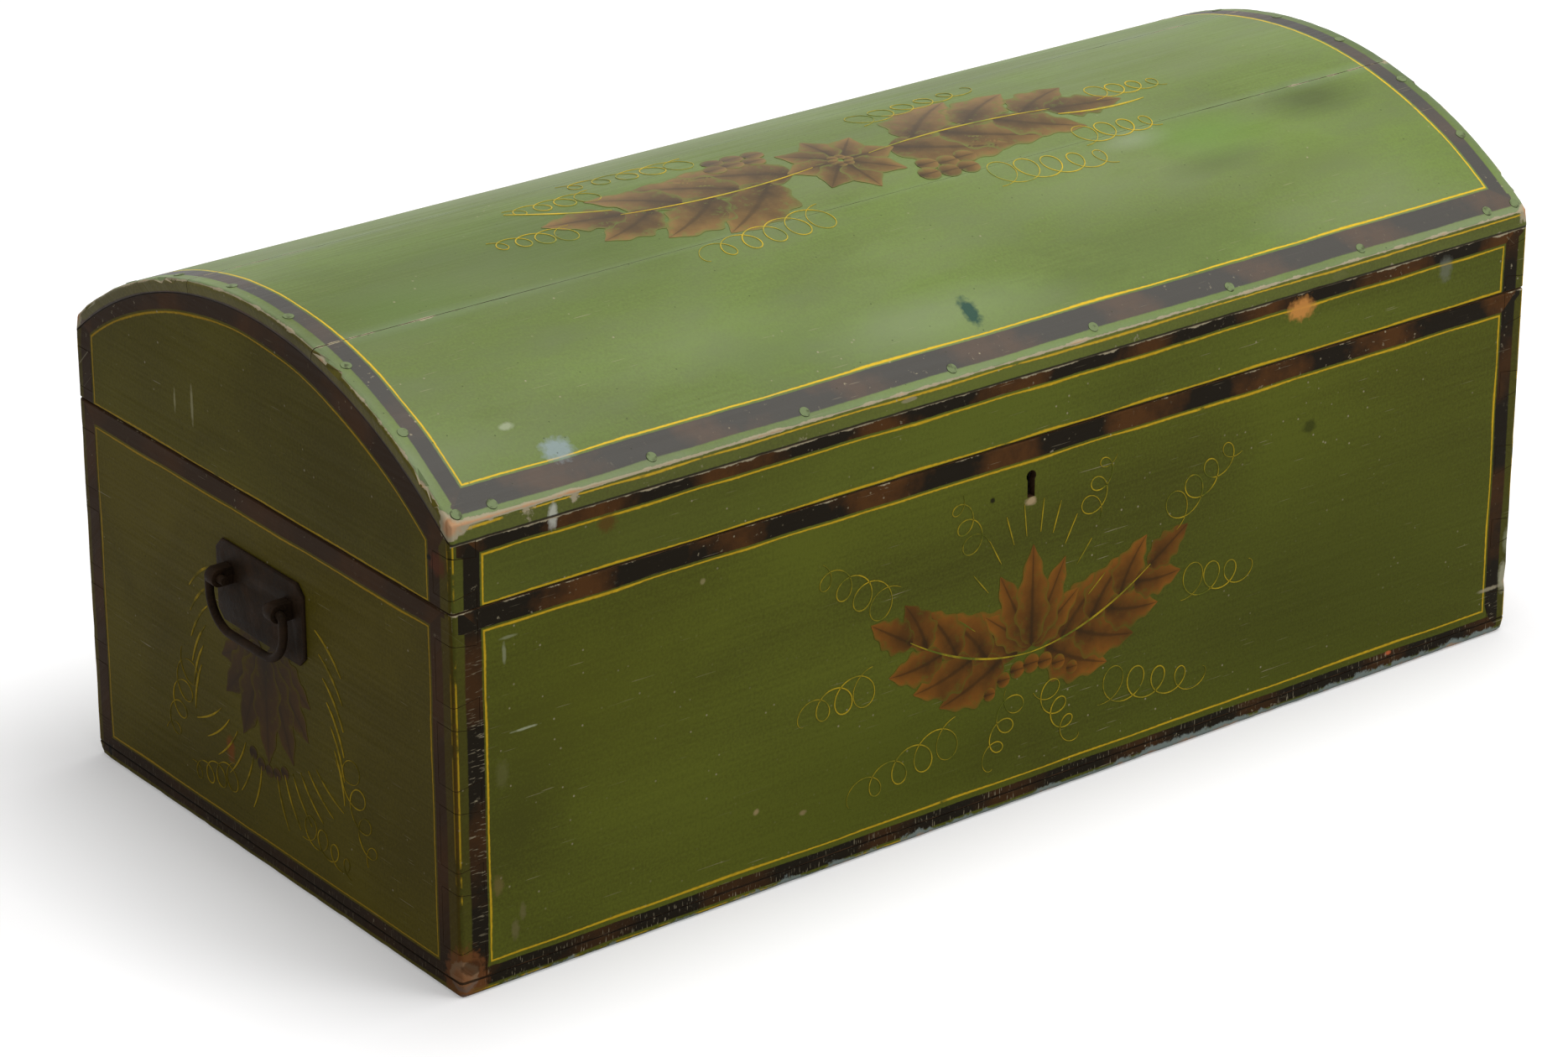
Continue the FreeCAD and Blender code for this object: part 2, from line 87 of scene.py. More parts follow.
# Faces of the box that the paint is laid out on
FRONT_LOW, FRONT_HIGH = box_mm("body_front_board")
HALF_LENGTH = FRONT_HIGH.x
HALF_DEPTH = -FRONT_LOW.y
INNER_X = HALF_LENGTH - (FRONT_HIGH.y - FRONT_LOW.y)
INNER_Y = -FRONT_HIGH.y
CASE_LOW = FRONT_LOW.z
CASE_TOP = FRONT_HIGH.z
LID_LOW = box_mm("lid_front_rail")[0].z
DOME_TOP = box_mm("dome_middle_board")[1].z
DOME_EDGE = 271.0
DOME_BOARD = 8.0
DOME_JOINT = box_mm("dome_middle_board")[1].y
DOME_RISE = DOME_TOP - DOME_EDGE
DOME_RADIUS = (HALF_DEPTH ** 2 + DOME_RISE ** 2) / (2 * DOME_RISE)
DOME_CENTRE = DOME_TOP - DOME_RADIUS
DOME_ANGLE = math.asin(HALF_DEPTH / DOME_RADIUS)
RAIL_TOP = DOME_CENTRE + math.sqrt((DOME_RADIUS - DOME_BOARD) ** 2 - HALF_DEPTH ** 2)

# Kinds of face: what paint a polygon carries
BARE, LONG_CASE, LONG_LID, DOME_RIM, END_CASE, END_LID, DOME, FOOT_LONG, FOOT_END = range(9)
# Where each face lies between the ends' brown olive and the dome's green
# The ends' colours are darker partly as painted shade, the dome's lighter and greyer partly as painted light from
# above
TONE_END, TONE_END_LID, TONE_LONG, TONE_LONG_LID, TONE_DOME = 0.0, 0.09, 0.5, 0.56, 1.0
FAR_INSIDE = 60.0


def linear(code):
    """An sRGB hex colour as linear red, green, blue and alpha."""
    parts = [int(code[i:i + 2], 16) / 255 for i in (1, 3, 5)]
    return [p / 12.92 if p <= 0.04045 else ((p + 0.055) / 1.055) ** 2.4 for p in parts] + [1.0]


def length(name, description, millimetres):
    """A length property, given in millimetres."""
    return bpy.props.FloatProperty(name=name, description=description, default=millimetres * MM,
                                   min=0.0, precision=5, unit="LENGTH", subtype="DISTANCE")


def colour(name, description, code):
    """A colour property, given as an sRGB hex code."""
    return bpy.props.FloatVectorProperty(name=name, description=description, default=linear(code),
                                         size=4, min=0.0, max=1.0, subtype="COLOR")


class PaintSizes(bpy.types.PropertyGroup):
    """Sizes of the painted lines and bands, and of the wear."""

    line_width: length("Line width", "Width of the yellow lines", 1.12)
    long_side: length("Line from corner, front", "Yellow line to the corner on the front and back", 19.8)
    end_front: length("Line from front corner, ends", "Yellow line to the front corner on the ends", 21.8)
    end_back: length("Line from back corner, ends", "Yellow line to the back corner on the ends", 18.0)
    case_top: length("Line from case top", "Yellow line to the case's top edge", 13.0)
    case_foot: length("Line from case foot", "Yellow line to the case's lower edge", 8.4)
    rail_top: length("Line from rail top", "Yellow line to the top of the lid's front rail", 9.2)
    seam: length("Line above seam", "Yellow line to the lid's lower edge", 1.4)
    arch: length("Line under arch", "Yellow line to the top of the dome's curve on the ends", 20.6)
    arch_lean: length("Lean of arch line", "How much further that line is from the curve at the front", 4.4)
    arch_strip: length("Strip under arch", "Green strip between the dome's curve and the band on the ends", 7.0)
    dome_side: length("Line from end, dome", "Yellow line to the ends of the dome", 20.3)
    dome_front: length("Line from edge, dome", "Yellow line to the dome's front edge, along the curve", 21.7)
    rim_line: length("Line on dome rim", "Yellow line under the dome's front edge", 2.6)
    band_gap: length("Gap beside line", "Green gap between a yellow line and its band", 1.1)
    foot_gap: length("Gap beside foot line", "Green gap under the yellow line along the foot of the front", 2.4)
    long_band: length("Band, front", "From the line to the band's far edge beside the front corners", 12.0)
    end_band: length("Band, ends", "From the line to the band's far edge beside the end corners", 12.0)
    foot_band: length("Band, foot", "From the line to the band's far edge along the foot", 13.2)
    dome_band: length("Band, dome ends", "From the line to the band's far edge at the ends of the dome", 11.6)
    dome_front_band: length("Band, dome front", "From the line to the band's far edge at the dome's front", 16.4)
    wear_reach: length("Wear reach", "How far wear reaches in from an arris", 3.5)
    wear_depth: length("Wear depth", "Deepest hollow worn into an arris", 0.6)
    unevenness: length("Unevenness", "How far the planed faces wander", 0.16)
    film_lift: length("Film lift", "How far the ornament's lowest stroke stands off the ground colour", 0.08)
    film_step: length("Film step", "How far each stroke of the ornament stands above the one before it", 0.003)
    joint_gap: length("Joint gap", "Hairline that each board draws back at a joint", 0.12)
    mesh_step: length("Mesh step", "Distance between cuts along the arrises", 6.0)


class PaintColours(bpy.types.PropertyGroup):
    """Colours of the paint, the wood and the iron."""

    # The end greens are darker partly as painted shade, and the dome greens lighter partly as painted light from
    # above
    front: colour("Front green", "Olive green of the front and back", "#5f6522")
    front_deep: colour("Deep front green", "Grimed patches of the front green", "#4b4c1c")
    end: colour("End green", "Brown olive of the ends", "#625818")
    end_deep: colour("Deep end green", "Grimed patches of the end green", "#4d4414")
    dome: colour("Dome green", "Lighter green of the dome", "#6e8240")
    dome_deep: colour("Deep dome green", "Grimed patches of the dome green", "#626e3b")
    # The bloom stands partly for dust and partly for a painted sheen
    bloom_and_sheen: colour("Bloom", "Dusty bloom on the dome", "#959f79")
    band: colour("Band", "Black brown of the bands", "#201b13")
    band_rust: colour("Band rust", "Rust-brown dabs in the bands", "#57381c")
    line: colour("Line", "Yellow of the lines", "#e0b92a")
    line_deep: colour("Deep line", "Grimed yellow of the lines", "#a8861e")
    primer: colour("Primer", "Pale ground under the paint", "#a89d81")
    old_blue: colour("Old blue", "Grey blue of an older coat that shows at the foot", "#7d8883")
    pine: colour("Pine", "Early wood of the pine", "#d3a880")
    pine_late: colour("Late pine", "Late wood of the pine", "#9a663b")


def add_node(tree, kind, inputs=(), **settings):
    """Adds one shader node with its settings, and links or fills its inputs, listed in order or by name or number.

    A kind such as Math.ADD names the operation too, a Mix mixes colours, and stops set a ramp's colours.
    """
    kind, _, operation = kind.partition(".")
    made = tree.nodes.new("ShaderNode" + kind)
    stops = settings.pop("stops", ())
    if operation:
        settings["operation"] = operation
    if kind == "Mix":
        settings["data_type"] = "RGBA"
    for name, value in settings.items():
        setattr(made, name, value)
    if stops:
        ramp = made.color_ramp.elements
        while len(ramp) < len(stops):
            ramp.new(0.5)
        for element, (place, shade) in zip(ramp, stops):
            element.position = place
            element.color = shade
    for key, value in inputs.items() if isinstance(inputs, dict) else enumerate(inputs):
        if isinstance(value, bpy.types.Node):
            value = value.outputs[2 if value.bl_idname == "ShaderNodeMix" else 0]
        if isinstance(value, bpy.types.NodeSocket):
            tree.links.new(value, made.inputs[key])
        else:
            made.inputs[key].default_value = value
    return made


def new_material(name):
    """An empty material, and the function that adds a node to it."""
    made = bpy.data.materials.new(name)
    made.use_nodes = True
    made.node_tree.nodes.clear()
    return made, partial(add_node, made.node_tree)


def millimetres(add):
    """The place on the object, which every material's pattern is laid out by."""
    return add("VectorMath.SCALE", {0: add("TexCoord").outputs["Object"], 3: 1 / MM})


def finished(made, add, surface, rough, sheen=0.5, **others):
    """Closes a material with its shader: colour, roughness, a constant sheen, and other inputs such as Normal."""
    shader = add("BsdfPrincipled", {"Base Color": surface, "Roughness": rough, "Specular IOR Level": sheen, **others})
    add("OutputMaterial", {"Surface": shader})
    return made


# Places on the painted faces, by how far across and up a face they are and how far they stand off it
def front_place(u, v, lift=0.0):
    return Vector((u, -HALF_DEPTH - lift, v))


def left_end_place(u, v, lift=0.0):
    return Vector((-HALF_LENGTH - lift, -u, v))


def right_end_place(u, v, lift=0.0):
    return Vector((HALF_LENGTH + lift, u, v))


def dome_place(u, v, lift=0.0):
    turn = v / DOME_RADIUS
    out = DOME_RADIUS + lift
    return Vector((u, out * math.sin(turn), DOME_CENTRE + out * math.cos(turn)))


def dome_point(x, angle):
    """A place on the dome by its angle from the top, in degrees."""
    return dome_place(x, math.radians(angle) * DOME_RADIUS)


# Stains and broad patches of painted shade and light in the green, marks over the finished paint and dirt over the
# worn
# spots: where each one is, how far it spreads along X, Y and Z, its colour, and how much it hides. The scuffed corner
# has nicks across its band.
STAINS_AND_PAINTED_SHADING = [
    # Painted shade: a broad darker patch over the dome's left side
    (dome_point(-220, -6), (190, 75, 30), "#4d5f2b", 0.5),
    (dome_point(130, -30), (75, 34, 24), "#5a6838", 0.4),
    (dome_point(-40, -31), (90, 22, 14), "#93a07b", 0.3),
    # Painted shade and light, partly grime: darker broad patches low on the front, lighter ones high on its left
    (front_place(240, 60), (250, 6, 130), "#3a3d14", 0.42),
    (front_place(-60, 45), (170, 6, 60), "#40430f", 0.35),
    (front_place(-300, 150), (100, 6, 80), "#64681f", 0.4),
    (front_place(-270, 240), (170, 6, 40), "#61662a", 0.4),
    (dome_point(306, -15), (42, 22, 12), "#444c2a", 0.65),
    (dome_point(205, -21), (44, 14, 10), "#566138", 0.5),
    (dome_point(255, -25), (60, 20, 12), "#65713f", 0.5),
    (dome_point(172, -14), (28, 12, 8), "#939d83", 0.45),
    (dome_point(-322, -9), (60, 40, 20), "#5b7334", 0.5),
    (dome_point(379, -10), (12, 150, 60), "#4a5833", 0.7),
    (dome_point(215, -16), (50, 34, 12), "#64902f", 0.35),
    (dome_point(-150, -30), (60, 26, 16), "#5b6c36", 0.3),
]
MARKS = [
    (front_place(202, 251), (12, 6, 8), "#d1904a", 0.9),
    (front_place(315, 249), (6, 6, 9), "#74776a", 0.55),
    (front_place(-283, 248), (7, 6, 6), "#5e3f1d", 0.7),
    (front_place(212, 176), (6, 6, 5), "#26290f", 0.6),
    (dome_point(-299, -33.6), (11, 9, 8), "#8f9ea3", 0.75),
    (front_place(-317, 261), (3.5, 6, 9), "#c9cabc", 0.75),
    (dome_point(-17, -31.5), (6, 13, 10), "#16403a", 0.9),
    (left_end_place(-80, 254), (6, 1.2, 8), "#a7a178", 0.6),
    (left_end_place(-62, 257), (6, 1.6, 13), "#a7a178", 0.7),
    (left_end_place(174, 247), (6, 9, 8), "#5e3420", 0.75),
    (left_end_place(166.4, 248.5), (6, 2.4, 2.2), "#120d09", 1.0),
    (front_place(-HALF_LENGTH, 19), (14, 9, 14), "#6a4120", 0.6),
    (front_place(-337, 146), (10, 6, 0.9), "#a3a888", 0.8),
    (front_place(-352, 124), (5, 6, 9), "#66653c", 0.5),
    (front_place(-349, 192), (1.4, 6, 7), "#8d9070", 0.7),
    (front_place(-346, 201), (6, 6, 1.1), "#8d9070", 0.6),
    (front_place(-HALF_LENGTH, 4), (9, 5, 5), "#b27a50", 0.85),
    (front_place(-346, 31), (3, 6, 7), "#6f6744", 0.65),
    (front_place(-341, 40), (2.5, 6, 6), "#6f6744", 0.6),
    (front_place(-356, 60), (4, 6, 7), "#74643c", 0.6),
    (front_place(-187, 51), (2.2, 6, 2.2), "#a08c62", 0.75),
    (front_place(-155, 41), (3, 6, 1.8), "#94805a", 0.7),
    (front_place(284, 12), (3, 6, 1.6), "#cc6a42", 0.85),
    (front_place(377, 36), (4, 6, 12), "#a8a68c", 0.8),
    (front_place(366, 31), (11, 6, 1.6), "#a49a80", 0.75),
    (front_place(378, 60), (3, 6, 9), "#8f9274", 0.6),
    (front_place(-222, 198), (2, 6, 2), "#9c8f66", 0.6),
    (dome_point(-318, -29.4), (5, 3, 3), "#a9b093", 0.6),
    (left_end_place(-38, 60), (6, 5, 9), "#8a4318", 0.6),
    (front_place(3.5, 184.5), (5, 6, 3), "#b59d78", 0.85),
    (front_place(-24, 192), (2, 6, 2), "#17120c", 0.9),
    (front_place(-HALF_LENGTH, 125), (2.0, 2.0, 88), "#6d4a22", 0.6),
    (left_end_place(-172, 7), (6, 2, 5), "#0f0b07", 1.0),
]
DIRT = [
    (Vector((-378, -183, 10)), (15, 13, 19), "#74492a", 0.72),
    (front_place(-374, 17), (6, 8, 5), "#2e1e10", 0.6),
]
SCUFFED_CORNER = (front_place(-366, 110), (14, 8, 110))


def blot(add, mm, ragged, centre, spread, core, hiding):
    """How much a ragged spot hides: its whole share out to its core, and nothing past 1.5 times its spread."""
    scale = Vector([1 / part for part in spread])
    moved = add("VectorMath.MULTIPLY_ADD", [mm, scale, -centre * scale])
    reach = add("VectorMath.LENGTH", [moved]).outputs["Value"]
    reach = add("Math.MULTIPLY_ADD", [ragged, 0.9, reach])
    return add("MapRange", [reach, core, 1.5, hiding, 0.0])


def blotted(add, mm, ragged, under, marks, core):
    """Lays ragged spots on a colour."""
    for centre, spread, code, hiding in marks:
        spot = blot(add, mm, ragged, centre, spread, core, hiding)
        under = add("Mix", {0: spot, 6: under, 7: linear(code)})
    return under


def stained_and_shaded_green(add, colours, mm, grain, tone, on_dome):
    """The green with its stains, broad patches of painted shade and light, and on the dome its dusty bloom and
    painted sheen;
    the noise of its grimed clouds, 230 mm by 105 mm, and that of its brush streaks, 2 mm wide along the boards."""
    fresh = add("ValToRGB", [tone], stops=[(0.0, colours.end), (0.5, colours.front), (1.0, colours.dome)])
    deep = add("ValToRGB", [tone],
               stops=[(0.0, colours.end_deep), (0.5, colours.front_deep), (1.0, colours.dome_deep)])
    drawn_out = add("VectorMath.MULTIPLY", [mm, (1 / 230, 1 / 105, 1 / 105)])
    clouds = add("TexNoise", {"Vector": drawn_out, "Scale": 1.0, "Detail": 4.0, "Distortion": 0.5})
    brushed = add("VectorMath.MULTIPLY", [grain, (1 / 150, 1 / 2.2, 0.0)])
    streaks = add("TexNoise", {"Vector": brushed, "Scale": 1.0, "Detail": 4.0, "Roughness": 0.6})
    grime = add("Math.MULTIPLY_ADD", [clouds, 2.3, -0.95])
    grime = add("Math.MULTIPLY_ADD", [streaks, 0.7, grime])
    specks = add("TexNoise", {"Vector": mm, "Scale": 1 / 1.6, "Detail": 2.0})
    grime = add("Math.MULTIPLY_ADD", [specks, 1.3, grime])
    grime = add("Math.SUBTRACT", [grime, 0.75], use_clamp=True)
    field = add("Mix", {0: grime, 6: fresh, 7: deep})
    mottled = add("TexNoise", {"Vector": drawn_out, "Scale": 3.4, "Detail": 5.0, "Roughness": 0.62})
    mottled = add("MapRange", [mottled, 0.46, 0.72, 0.0, 0.55])
    mottled = add("Math.MULTIPLY", [mottled, on_dome])
    field = add("Mix", {0: mottled, 6: field, 7: linear("#525f2f")})
    # Dusty bloom on the dome, and partly a painted sheen
    dust_and_sheen = add("TexNoise", {"Vector": drawn_out, "Scale": 1.7, "Detail": 5.0, "Roughness": 0.55})
    dust_and_sheen = add("Math.MULTIPLY_ADD", [streaks, 0.16, dust_and_sheen])
    dust_and_sheen = add("MapRange", [dust_and_sheen, 0.5, 0.83, 0.0, 0.36])
    dust_and_sheen = add("Math.MULTIPLY", [dust_and_sheen, on_dome])
    field = add("Mix", {0: dust_and_sheen, 6: field, 7: colours.bloom_and_sheen})
    return blotted(add, mm, clouds, field, STAINS_AND_PAINTED_SHADING, 0.6), clouds, streaks


def rust_dabs(add, mm, tone, on_dome, on_end, beside, height):
    """A brush dab every 95 mm along the bands, weaker by the foot, on the dome and beside the corners, and the noise
    that mottles it."""
    onward = add("Mix", {0: beside, 6: (1.0, 1.0, 0.0, 1.0), 7: (0.0, 1.0, 1.0, 1.0)})
    way = add("VectorMath.DOT_PRODUCT", [mm, onward]).outputs["Value"]
    smudge = add("TexNoise", {"Vector": mm, "Scale": 1 / 40, "Detail": 1.0})
    mottle = add("TexNoise", {"Vector": mm, "Scale": 1 / 9, "Detail": 5.0, "Roughness": 0.6})
    dabs = add("Math.MULTIPLY_ADD", [smudge, 60.0, way])
    dabs = add("Math.MULTIPLY", [dabs, 2 * math.pi / 95])
    dabs = add("Math.SINE", [dabs])
    dabs = add("Math.MULTIPLY_ADD", [mottle, 2.0, dabs])
    least = add("MapRange", [tone, 0.0, 0.5, 0.3, 0.0])
    most = add("MapRange", [tone, 0.0, 0.5, 0.55, 0.9])
    dabs = add("MapRange", [dabs, 0.75, 2.1, least, most])
    low_dabs = add("MapRange", [height, 14.0, 40.0, 0.5, 1.0])
    dome_dabs = add("MapRange", [on_dome, 0.0, 1.0, 1.0, 0.6])
    low_dabs = add("Math.MULTIPLY", [low_dabs, dome_dabs])
    side_dabs = add("MapRange", [on_end, 0.0, 1.0, -0.45, 0.0])
    side_dabs = add("Math.MULTIPLY_ADD", [beside, side_dabs, 1.0])
    dabs = add("Math.MULTIPLY", [dabs, low_dabs])
    return add("Math.MULTIPLY", [dabs, side_dabs]), mottle


def knocks(add, mm, grain, band):
    """Chips and pinholes 1 mm across in cells of 8 mm, with the chips joined by scratches about 26 mm long and 0.9 mm
    wide and by knocks in the bands, all in some places more than in others."""
    cells = add("TexVoronoi", {"Vector": mm, "Scale": 1 / 8})
    chips = add("MapRange", [cells.outputs["Distance"], 0.05, 0.1, 1.0, 0.0])
    few = add("MapRange", [cells.outputs["Color"], 0.54, 0.57, 0.0, 0.7])
    chips = add("Math.MULTIPLY", [chips, few])
    pinholes = add("MapRange", [cells.outputs["Distance"], 0.04, 0.08, 1.0, 0.0])
    others = add("MapRange", [cells.outputs["Color"], 0.4, 0.42, 0.55, 0.0])
    pinholes = add("Math.MULTIPLY", [pinholes, others])
    slanted = add("Mapping", {"Vector": grain, "Rotation": (0.0, 0.0, 0.4), "Scale": (1 / 26, 1 / 0.9, 1.0)})
    scratches = add("TexNoise", {"Vector": slanted, "Scale": 1.0, "Detail": 1.0})
    scratches = add("MapRange", [scratches, 0.74, 0.78, 0.0, 0.5])
    pale = add("Math.MAXIMUM", [chips, scratches])
    knocked = add("TexNoise", {"Vector": mm, "Scale": 1 / 4, "Detail": 4.0, "Roughness": 0.6})
    knocked = add("MapRange", [knocked, 0.66, 0.7, 0.0, 0.6])
    knocked = add("Math.MULTIPLY", [knocked, band])
    pale = add("Math.MAXIMUM", [pale, knocked])
    scuffed = add("TexNoise", {"Vector": mm, "Scale": 1 / 75, "Detail": 3.0})
    scuffed = add("MapRange", [scuffed, 0.47, 0.6, 0.1, 1.0])
    return add("Math.MULTIPLY", [pale, scuffed]), pinholes


def band_nicks(add, mm, ragged, band, beside, on_end, height):
    """Nicks across the bands, about 7 mm long and 0.9 mm wide, by the left front corner and along the foot."""
    nicks = add("Mix", {0: beside, 6: (1 / 0.9, 1 / 0.9, 1 / 7, 1.0), 7: (1 / 7, 1 / 7, 1 / 0.9, 1.0)})
    nicks = add("VectorMath.MULTIPLY", [mm, nicks])
    nicks = add("TexNoise", {"Vector": nicks, "Scale": 1.0, "Detail": 2.0})
    nicks = add("MapRange", [nicks, 0.62, 0.68, 0.0, 0.7])
    low_nicks = add("MapRange", [on_end, 0.0, 1.0, 0.8, 0.3])
    low_nicks = add("MapRange", [height, 10.0, 30.0, low_nicks, 0.0])
    side_nicks = blot(add, mm, ragged, *SCUFFED_CORNER, 0.6, 1.0)
    some = add("Math.MAXIMUM", [low_nicks, side_nicks])
    some = add("Math.MULTIPLY", [some, band])
    return add("Math.MULTIPLY", [nicks, some])


def bare_pine(add, colours, grain, mottle, clouds):
    """Soiled pine, and the noise of its grain: growth rings about 9 mm apart along the board, fibres 0.6 mm wide."""
    drawn = add("VectorMath.MULTIPLY", [grain, (1 / 420, 1 / 22, 1.0)])
    rings = add("TexNoise", {"Vector": drawn, "Scale": 1.0, "Detail": 2.0, "Distortion": 0.3})
    rings = add("Math.MULTIPLY", [rings, 9.0])
    rings = add("Math.FRACT", [rings])
    fine = add("VectorMath.MULTIPLY", [grain, (1 / 45, 1 / 0.6, 1.0)])
    fibres = add("TexNoise", {"Vector": fine, "Scale": 1.0, "Detail": 2.0})
    ringed = add("Math.MULTIPLY", [rings, rings])
    ringed = add("Math.MULTIPLY_ADD", [fibres, 0.5, ringed])
    ringed = add("Math.MULTIPLY_ADD", [ringed, 0.65, -0.1], use_clamp=True)
    wood = add("Mix", {0: ringed, 6: colours.pine, 7: colours.pine_late})
    splits = add("MapRange", [mottle, 0.35, 0.7, 0.0, 0.5])
    soiled = add("MapRange", [clouds, 0.35, 0.75, 0.0, 0.45])
    soiled = add("Math.MAXIMUM", [soiled, splits])
    return add("Mix", {0: soiled, 6: wood, 7: linear("#7a5535")}), ringed


def painted_pine(colours, sizes, part, sheen):
    """Oil paint brushed on pine: satin, streaked along the boards, chipped, and rubbed through at the arrises."""
    made, add = new_material("oil_paint_on_pine_" + part)
    mm = millimetres(add)
    layout = add("SeparateXYZ", [add("Attribute", attribute_name="layout").outputs["Vector"]])
    finish = add("SeparateXYZ", [add("Attribute", attribute_name="finish").outputs["Vector"]])
    joints = add("SeparateXYZ", [add("Attribute", attribute_name="joints").outputs["Vector"]])
    grain = add("Attribute", attribute_name="grain").outputs["Vector"]
    band_width = layout.outputs["Z"]
    painted = finish.outputs["X"]
    arris = finish.outputs["Y"]
    tone = finish.outputs["Z"]
    half_line = sizes.line_width / MM / 2
    on_dome = add("MapRange", [tone, 0.75, 1.0])
    on_end = add("MapRange", [tone, 0.0, 0.5, 1.0, 0.0])
    beside = add("Math.LESS_THAN", [layout.outputs["X"], layout.outputs["Y"]])
    place = add("SeparateXYZ", [mm])
    height = place.outputs["Z"]

    # Lines ruled by hand wander over about 60 mm, and their edges are ragged over about 3 mm
    wander = add("TexNoise", {"Vector": mm, "Scale": 1 / 60, "Detail": 1.0})
    ragged = add("TexNoise", {"Vector": mm, "Scale": 1 / 3, "Detail": 3.0})
    drift = add("Math.MULTIPLY_ADD", [wander, 2.4, -1.5])
    drift = add("Math.MULTIPLY_ADD", [ragged, 0.6, drift])
    nearest = add("Math.MINIMUM", [layout.outputs["X"], layout.outputs["Y"]])
    inward = add("Math.ADD", [nearest, drift])
    away = add("Math.ABSOLUTE", [inward])
    thinner = add("MapRange", [tone, 0.0, 0.5, 1.25, 1.0])
    swelling = add("MapRange", [wander, 0.35, 0.65, 0.75, 1.35])
    thinner = add("Math.MULTIPLY", [thinner, swelling])
    away = add("Math.MULTIPLY", [away, thinner])
    line = add("MapRange", [away, half_line - 0.2, half_line + 0.25, 1.0, 0.0])
    rubbed = add("TexNoise", {"Vector": mm, "Scale": 1 / 24, "Detail": 6.0, "Roughness": 0.6})
    lost = add("MapRange", [place.outputs["X"], -HALF_LENGTH, -100.0, 0.17, 0.05])
    lost = add("MapRange", [band_width, 0.0, 1.0, lost, 0.0])
    lasting = add("Math.SUBTRACT", [rubbed, lost])
    kept = add("MapRange", [lasting, 0.29, 0.36])
    line = add("Math.MULTIPLY", [line, kept])
    inner = add("Math.ADD", [inward, joints.outputs["Z"]])
    in_band = add("MapRange", [inner, -half_line - 0.3, -half_line + 0.2, 1.0, 0.0])
    past = add("Math.ADD", [inward, band_width])
    to_strip = add("MapRange", [past, -0.5, 0.3])
    band = add("Math.MULTIPLY", [in_band, to_strip])

    field, clouds, streaks = stained_and_shaded_green(add, colours, mm, grain, tone, on_dome)

    # The strip outside a band is brown with handling, and the dome's edges are hazy, partly rubbed and partly a
    # painted sheen
    strip = add("Math.LESS_THAN", [past, 0.0])
    strip = add("Math.MULTIPLY", [strip, beside])
    handled = add("ValToRGB", [tone], stops=[(0.0, (0.45,) * 4), (0.5, (0.4,) * 4), (0.75, (0.0,) * 4)])
    strip = add("Math.MULTIPLY", [strip, handled])
    field = add("Mix", {0: strip, 6: field, 7: linear("#3a2a15")})
    rubbed_haze_and_sheen = add("MapRange", [arris, 0.5, 7.0, 0.34, 0.0])
    rubbed_haze_and_sheen = add("Math.MULTIPLY", [rubbed_haze_and_sheen, rubbed])
    rubbed_haze_and_sheen = add("Math.MULTIPLY", [rubbed_haze_and_sheen, on_dome])
    field = add("Mix", {0: rubbed_haze_and_sheen, 6: field, 7: linear("#93a08e")})

    # The bands: rust-brown dabs in black brown
    dabs, mottle = rust_dabs(add, mm, tone, on_dome, on_end, beside, height)
    band_colour = add("Mix", {0: dabs, 6: colours.band, 7: colours.band_rust})
    # On the dome the band is greyed, partly by dust and partly as a painted sheen
    band_dust_and_sheen = add("Math.MULTIPLY", [on_dome, 0.17])
    band_colour = add("Mix", {0: band_dust_and_sheen, 6: band_colour, 7: linear("#a09e98")})
    paint = add("Mix", {0: band, 6: field, 7: band_colour})
    # The yellow is duller on the ends and clearer on the dome, partly grime and partly painted shade and light
    dull = add("MapRange", [tone, 0.0, 1.0, 0.5, -0.45])
    dull = add("Math.ADD", [dull, ragged], use_clamp=True)
    line_colour = add("Mix", {0: dull, 6: colours.line, 7: colours.line_deep})
    paint = add("Mix", {0: line, 6: paint, 7: line_colour})

    # A broken second line on either side of the upright corners, outside the strip beside the band
    corner = add("Math.MULTIPLY_ADD", [drift, 0.3, joints.outputs["X"]])
    corner = add("Math.ABSOLUTE", [corner])
    corner = add("MapRange", [corner, half_line - 0.35, half_line + 0.1, 0.9, 0.0])
    broken = add("MapRange", [rubbed, 0.46, 0.53])
    faint = add("MapRange", [on_end, 0.0, 1.0, 1.0, 0.6])
    corner = add("Math.MULTIPLY", [corner, broken])
    corner = add("Math.MULTIPLY", [corner, faint])
    paint = add("Mix", {0: corner, 6: paint, 7: line_colour})

    # Smears, drips and rubbed spots
    paint = blotted(add, mm, ragged, paint, MARKS, 0.95)

    # Chips, scratches and nicks down to the pale ground, and pinholes
    pale, pinholes = knocks(add, mm, grain, band)
    paint = add("Mix", {0: pinholes, 6: paint, 7: linear("#2c2c14")})
    nicks = band_nicks(add, mm, ragged, band, beside, on_end, height)
    pale = add("Math.MAXIMUM", [pale, nicks])
    paint = add("Mix", {0: pale, 6: paint, 7: colours.primer})

    wood, ringed = bare_pine(add, colours, grain, mottle, clouds)

    # Bare wood near the outside is dark with dirt
    near_edge = add("MapRange", [arris, 0.5, 7.0, 0.9, 0.0])
    grimy = add("Mix", {0: near_edge, 6: wood, 7: linear("#241a10")})

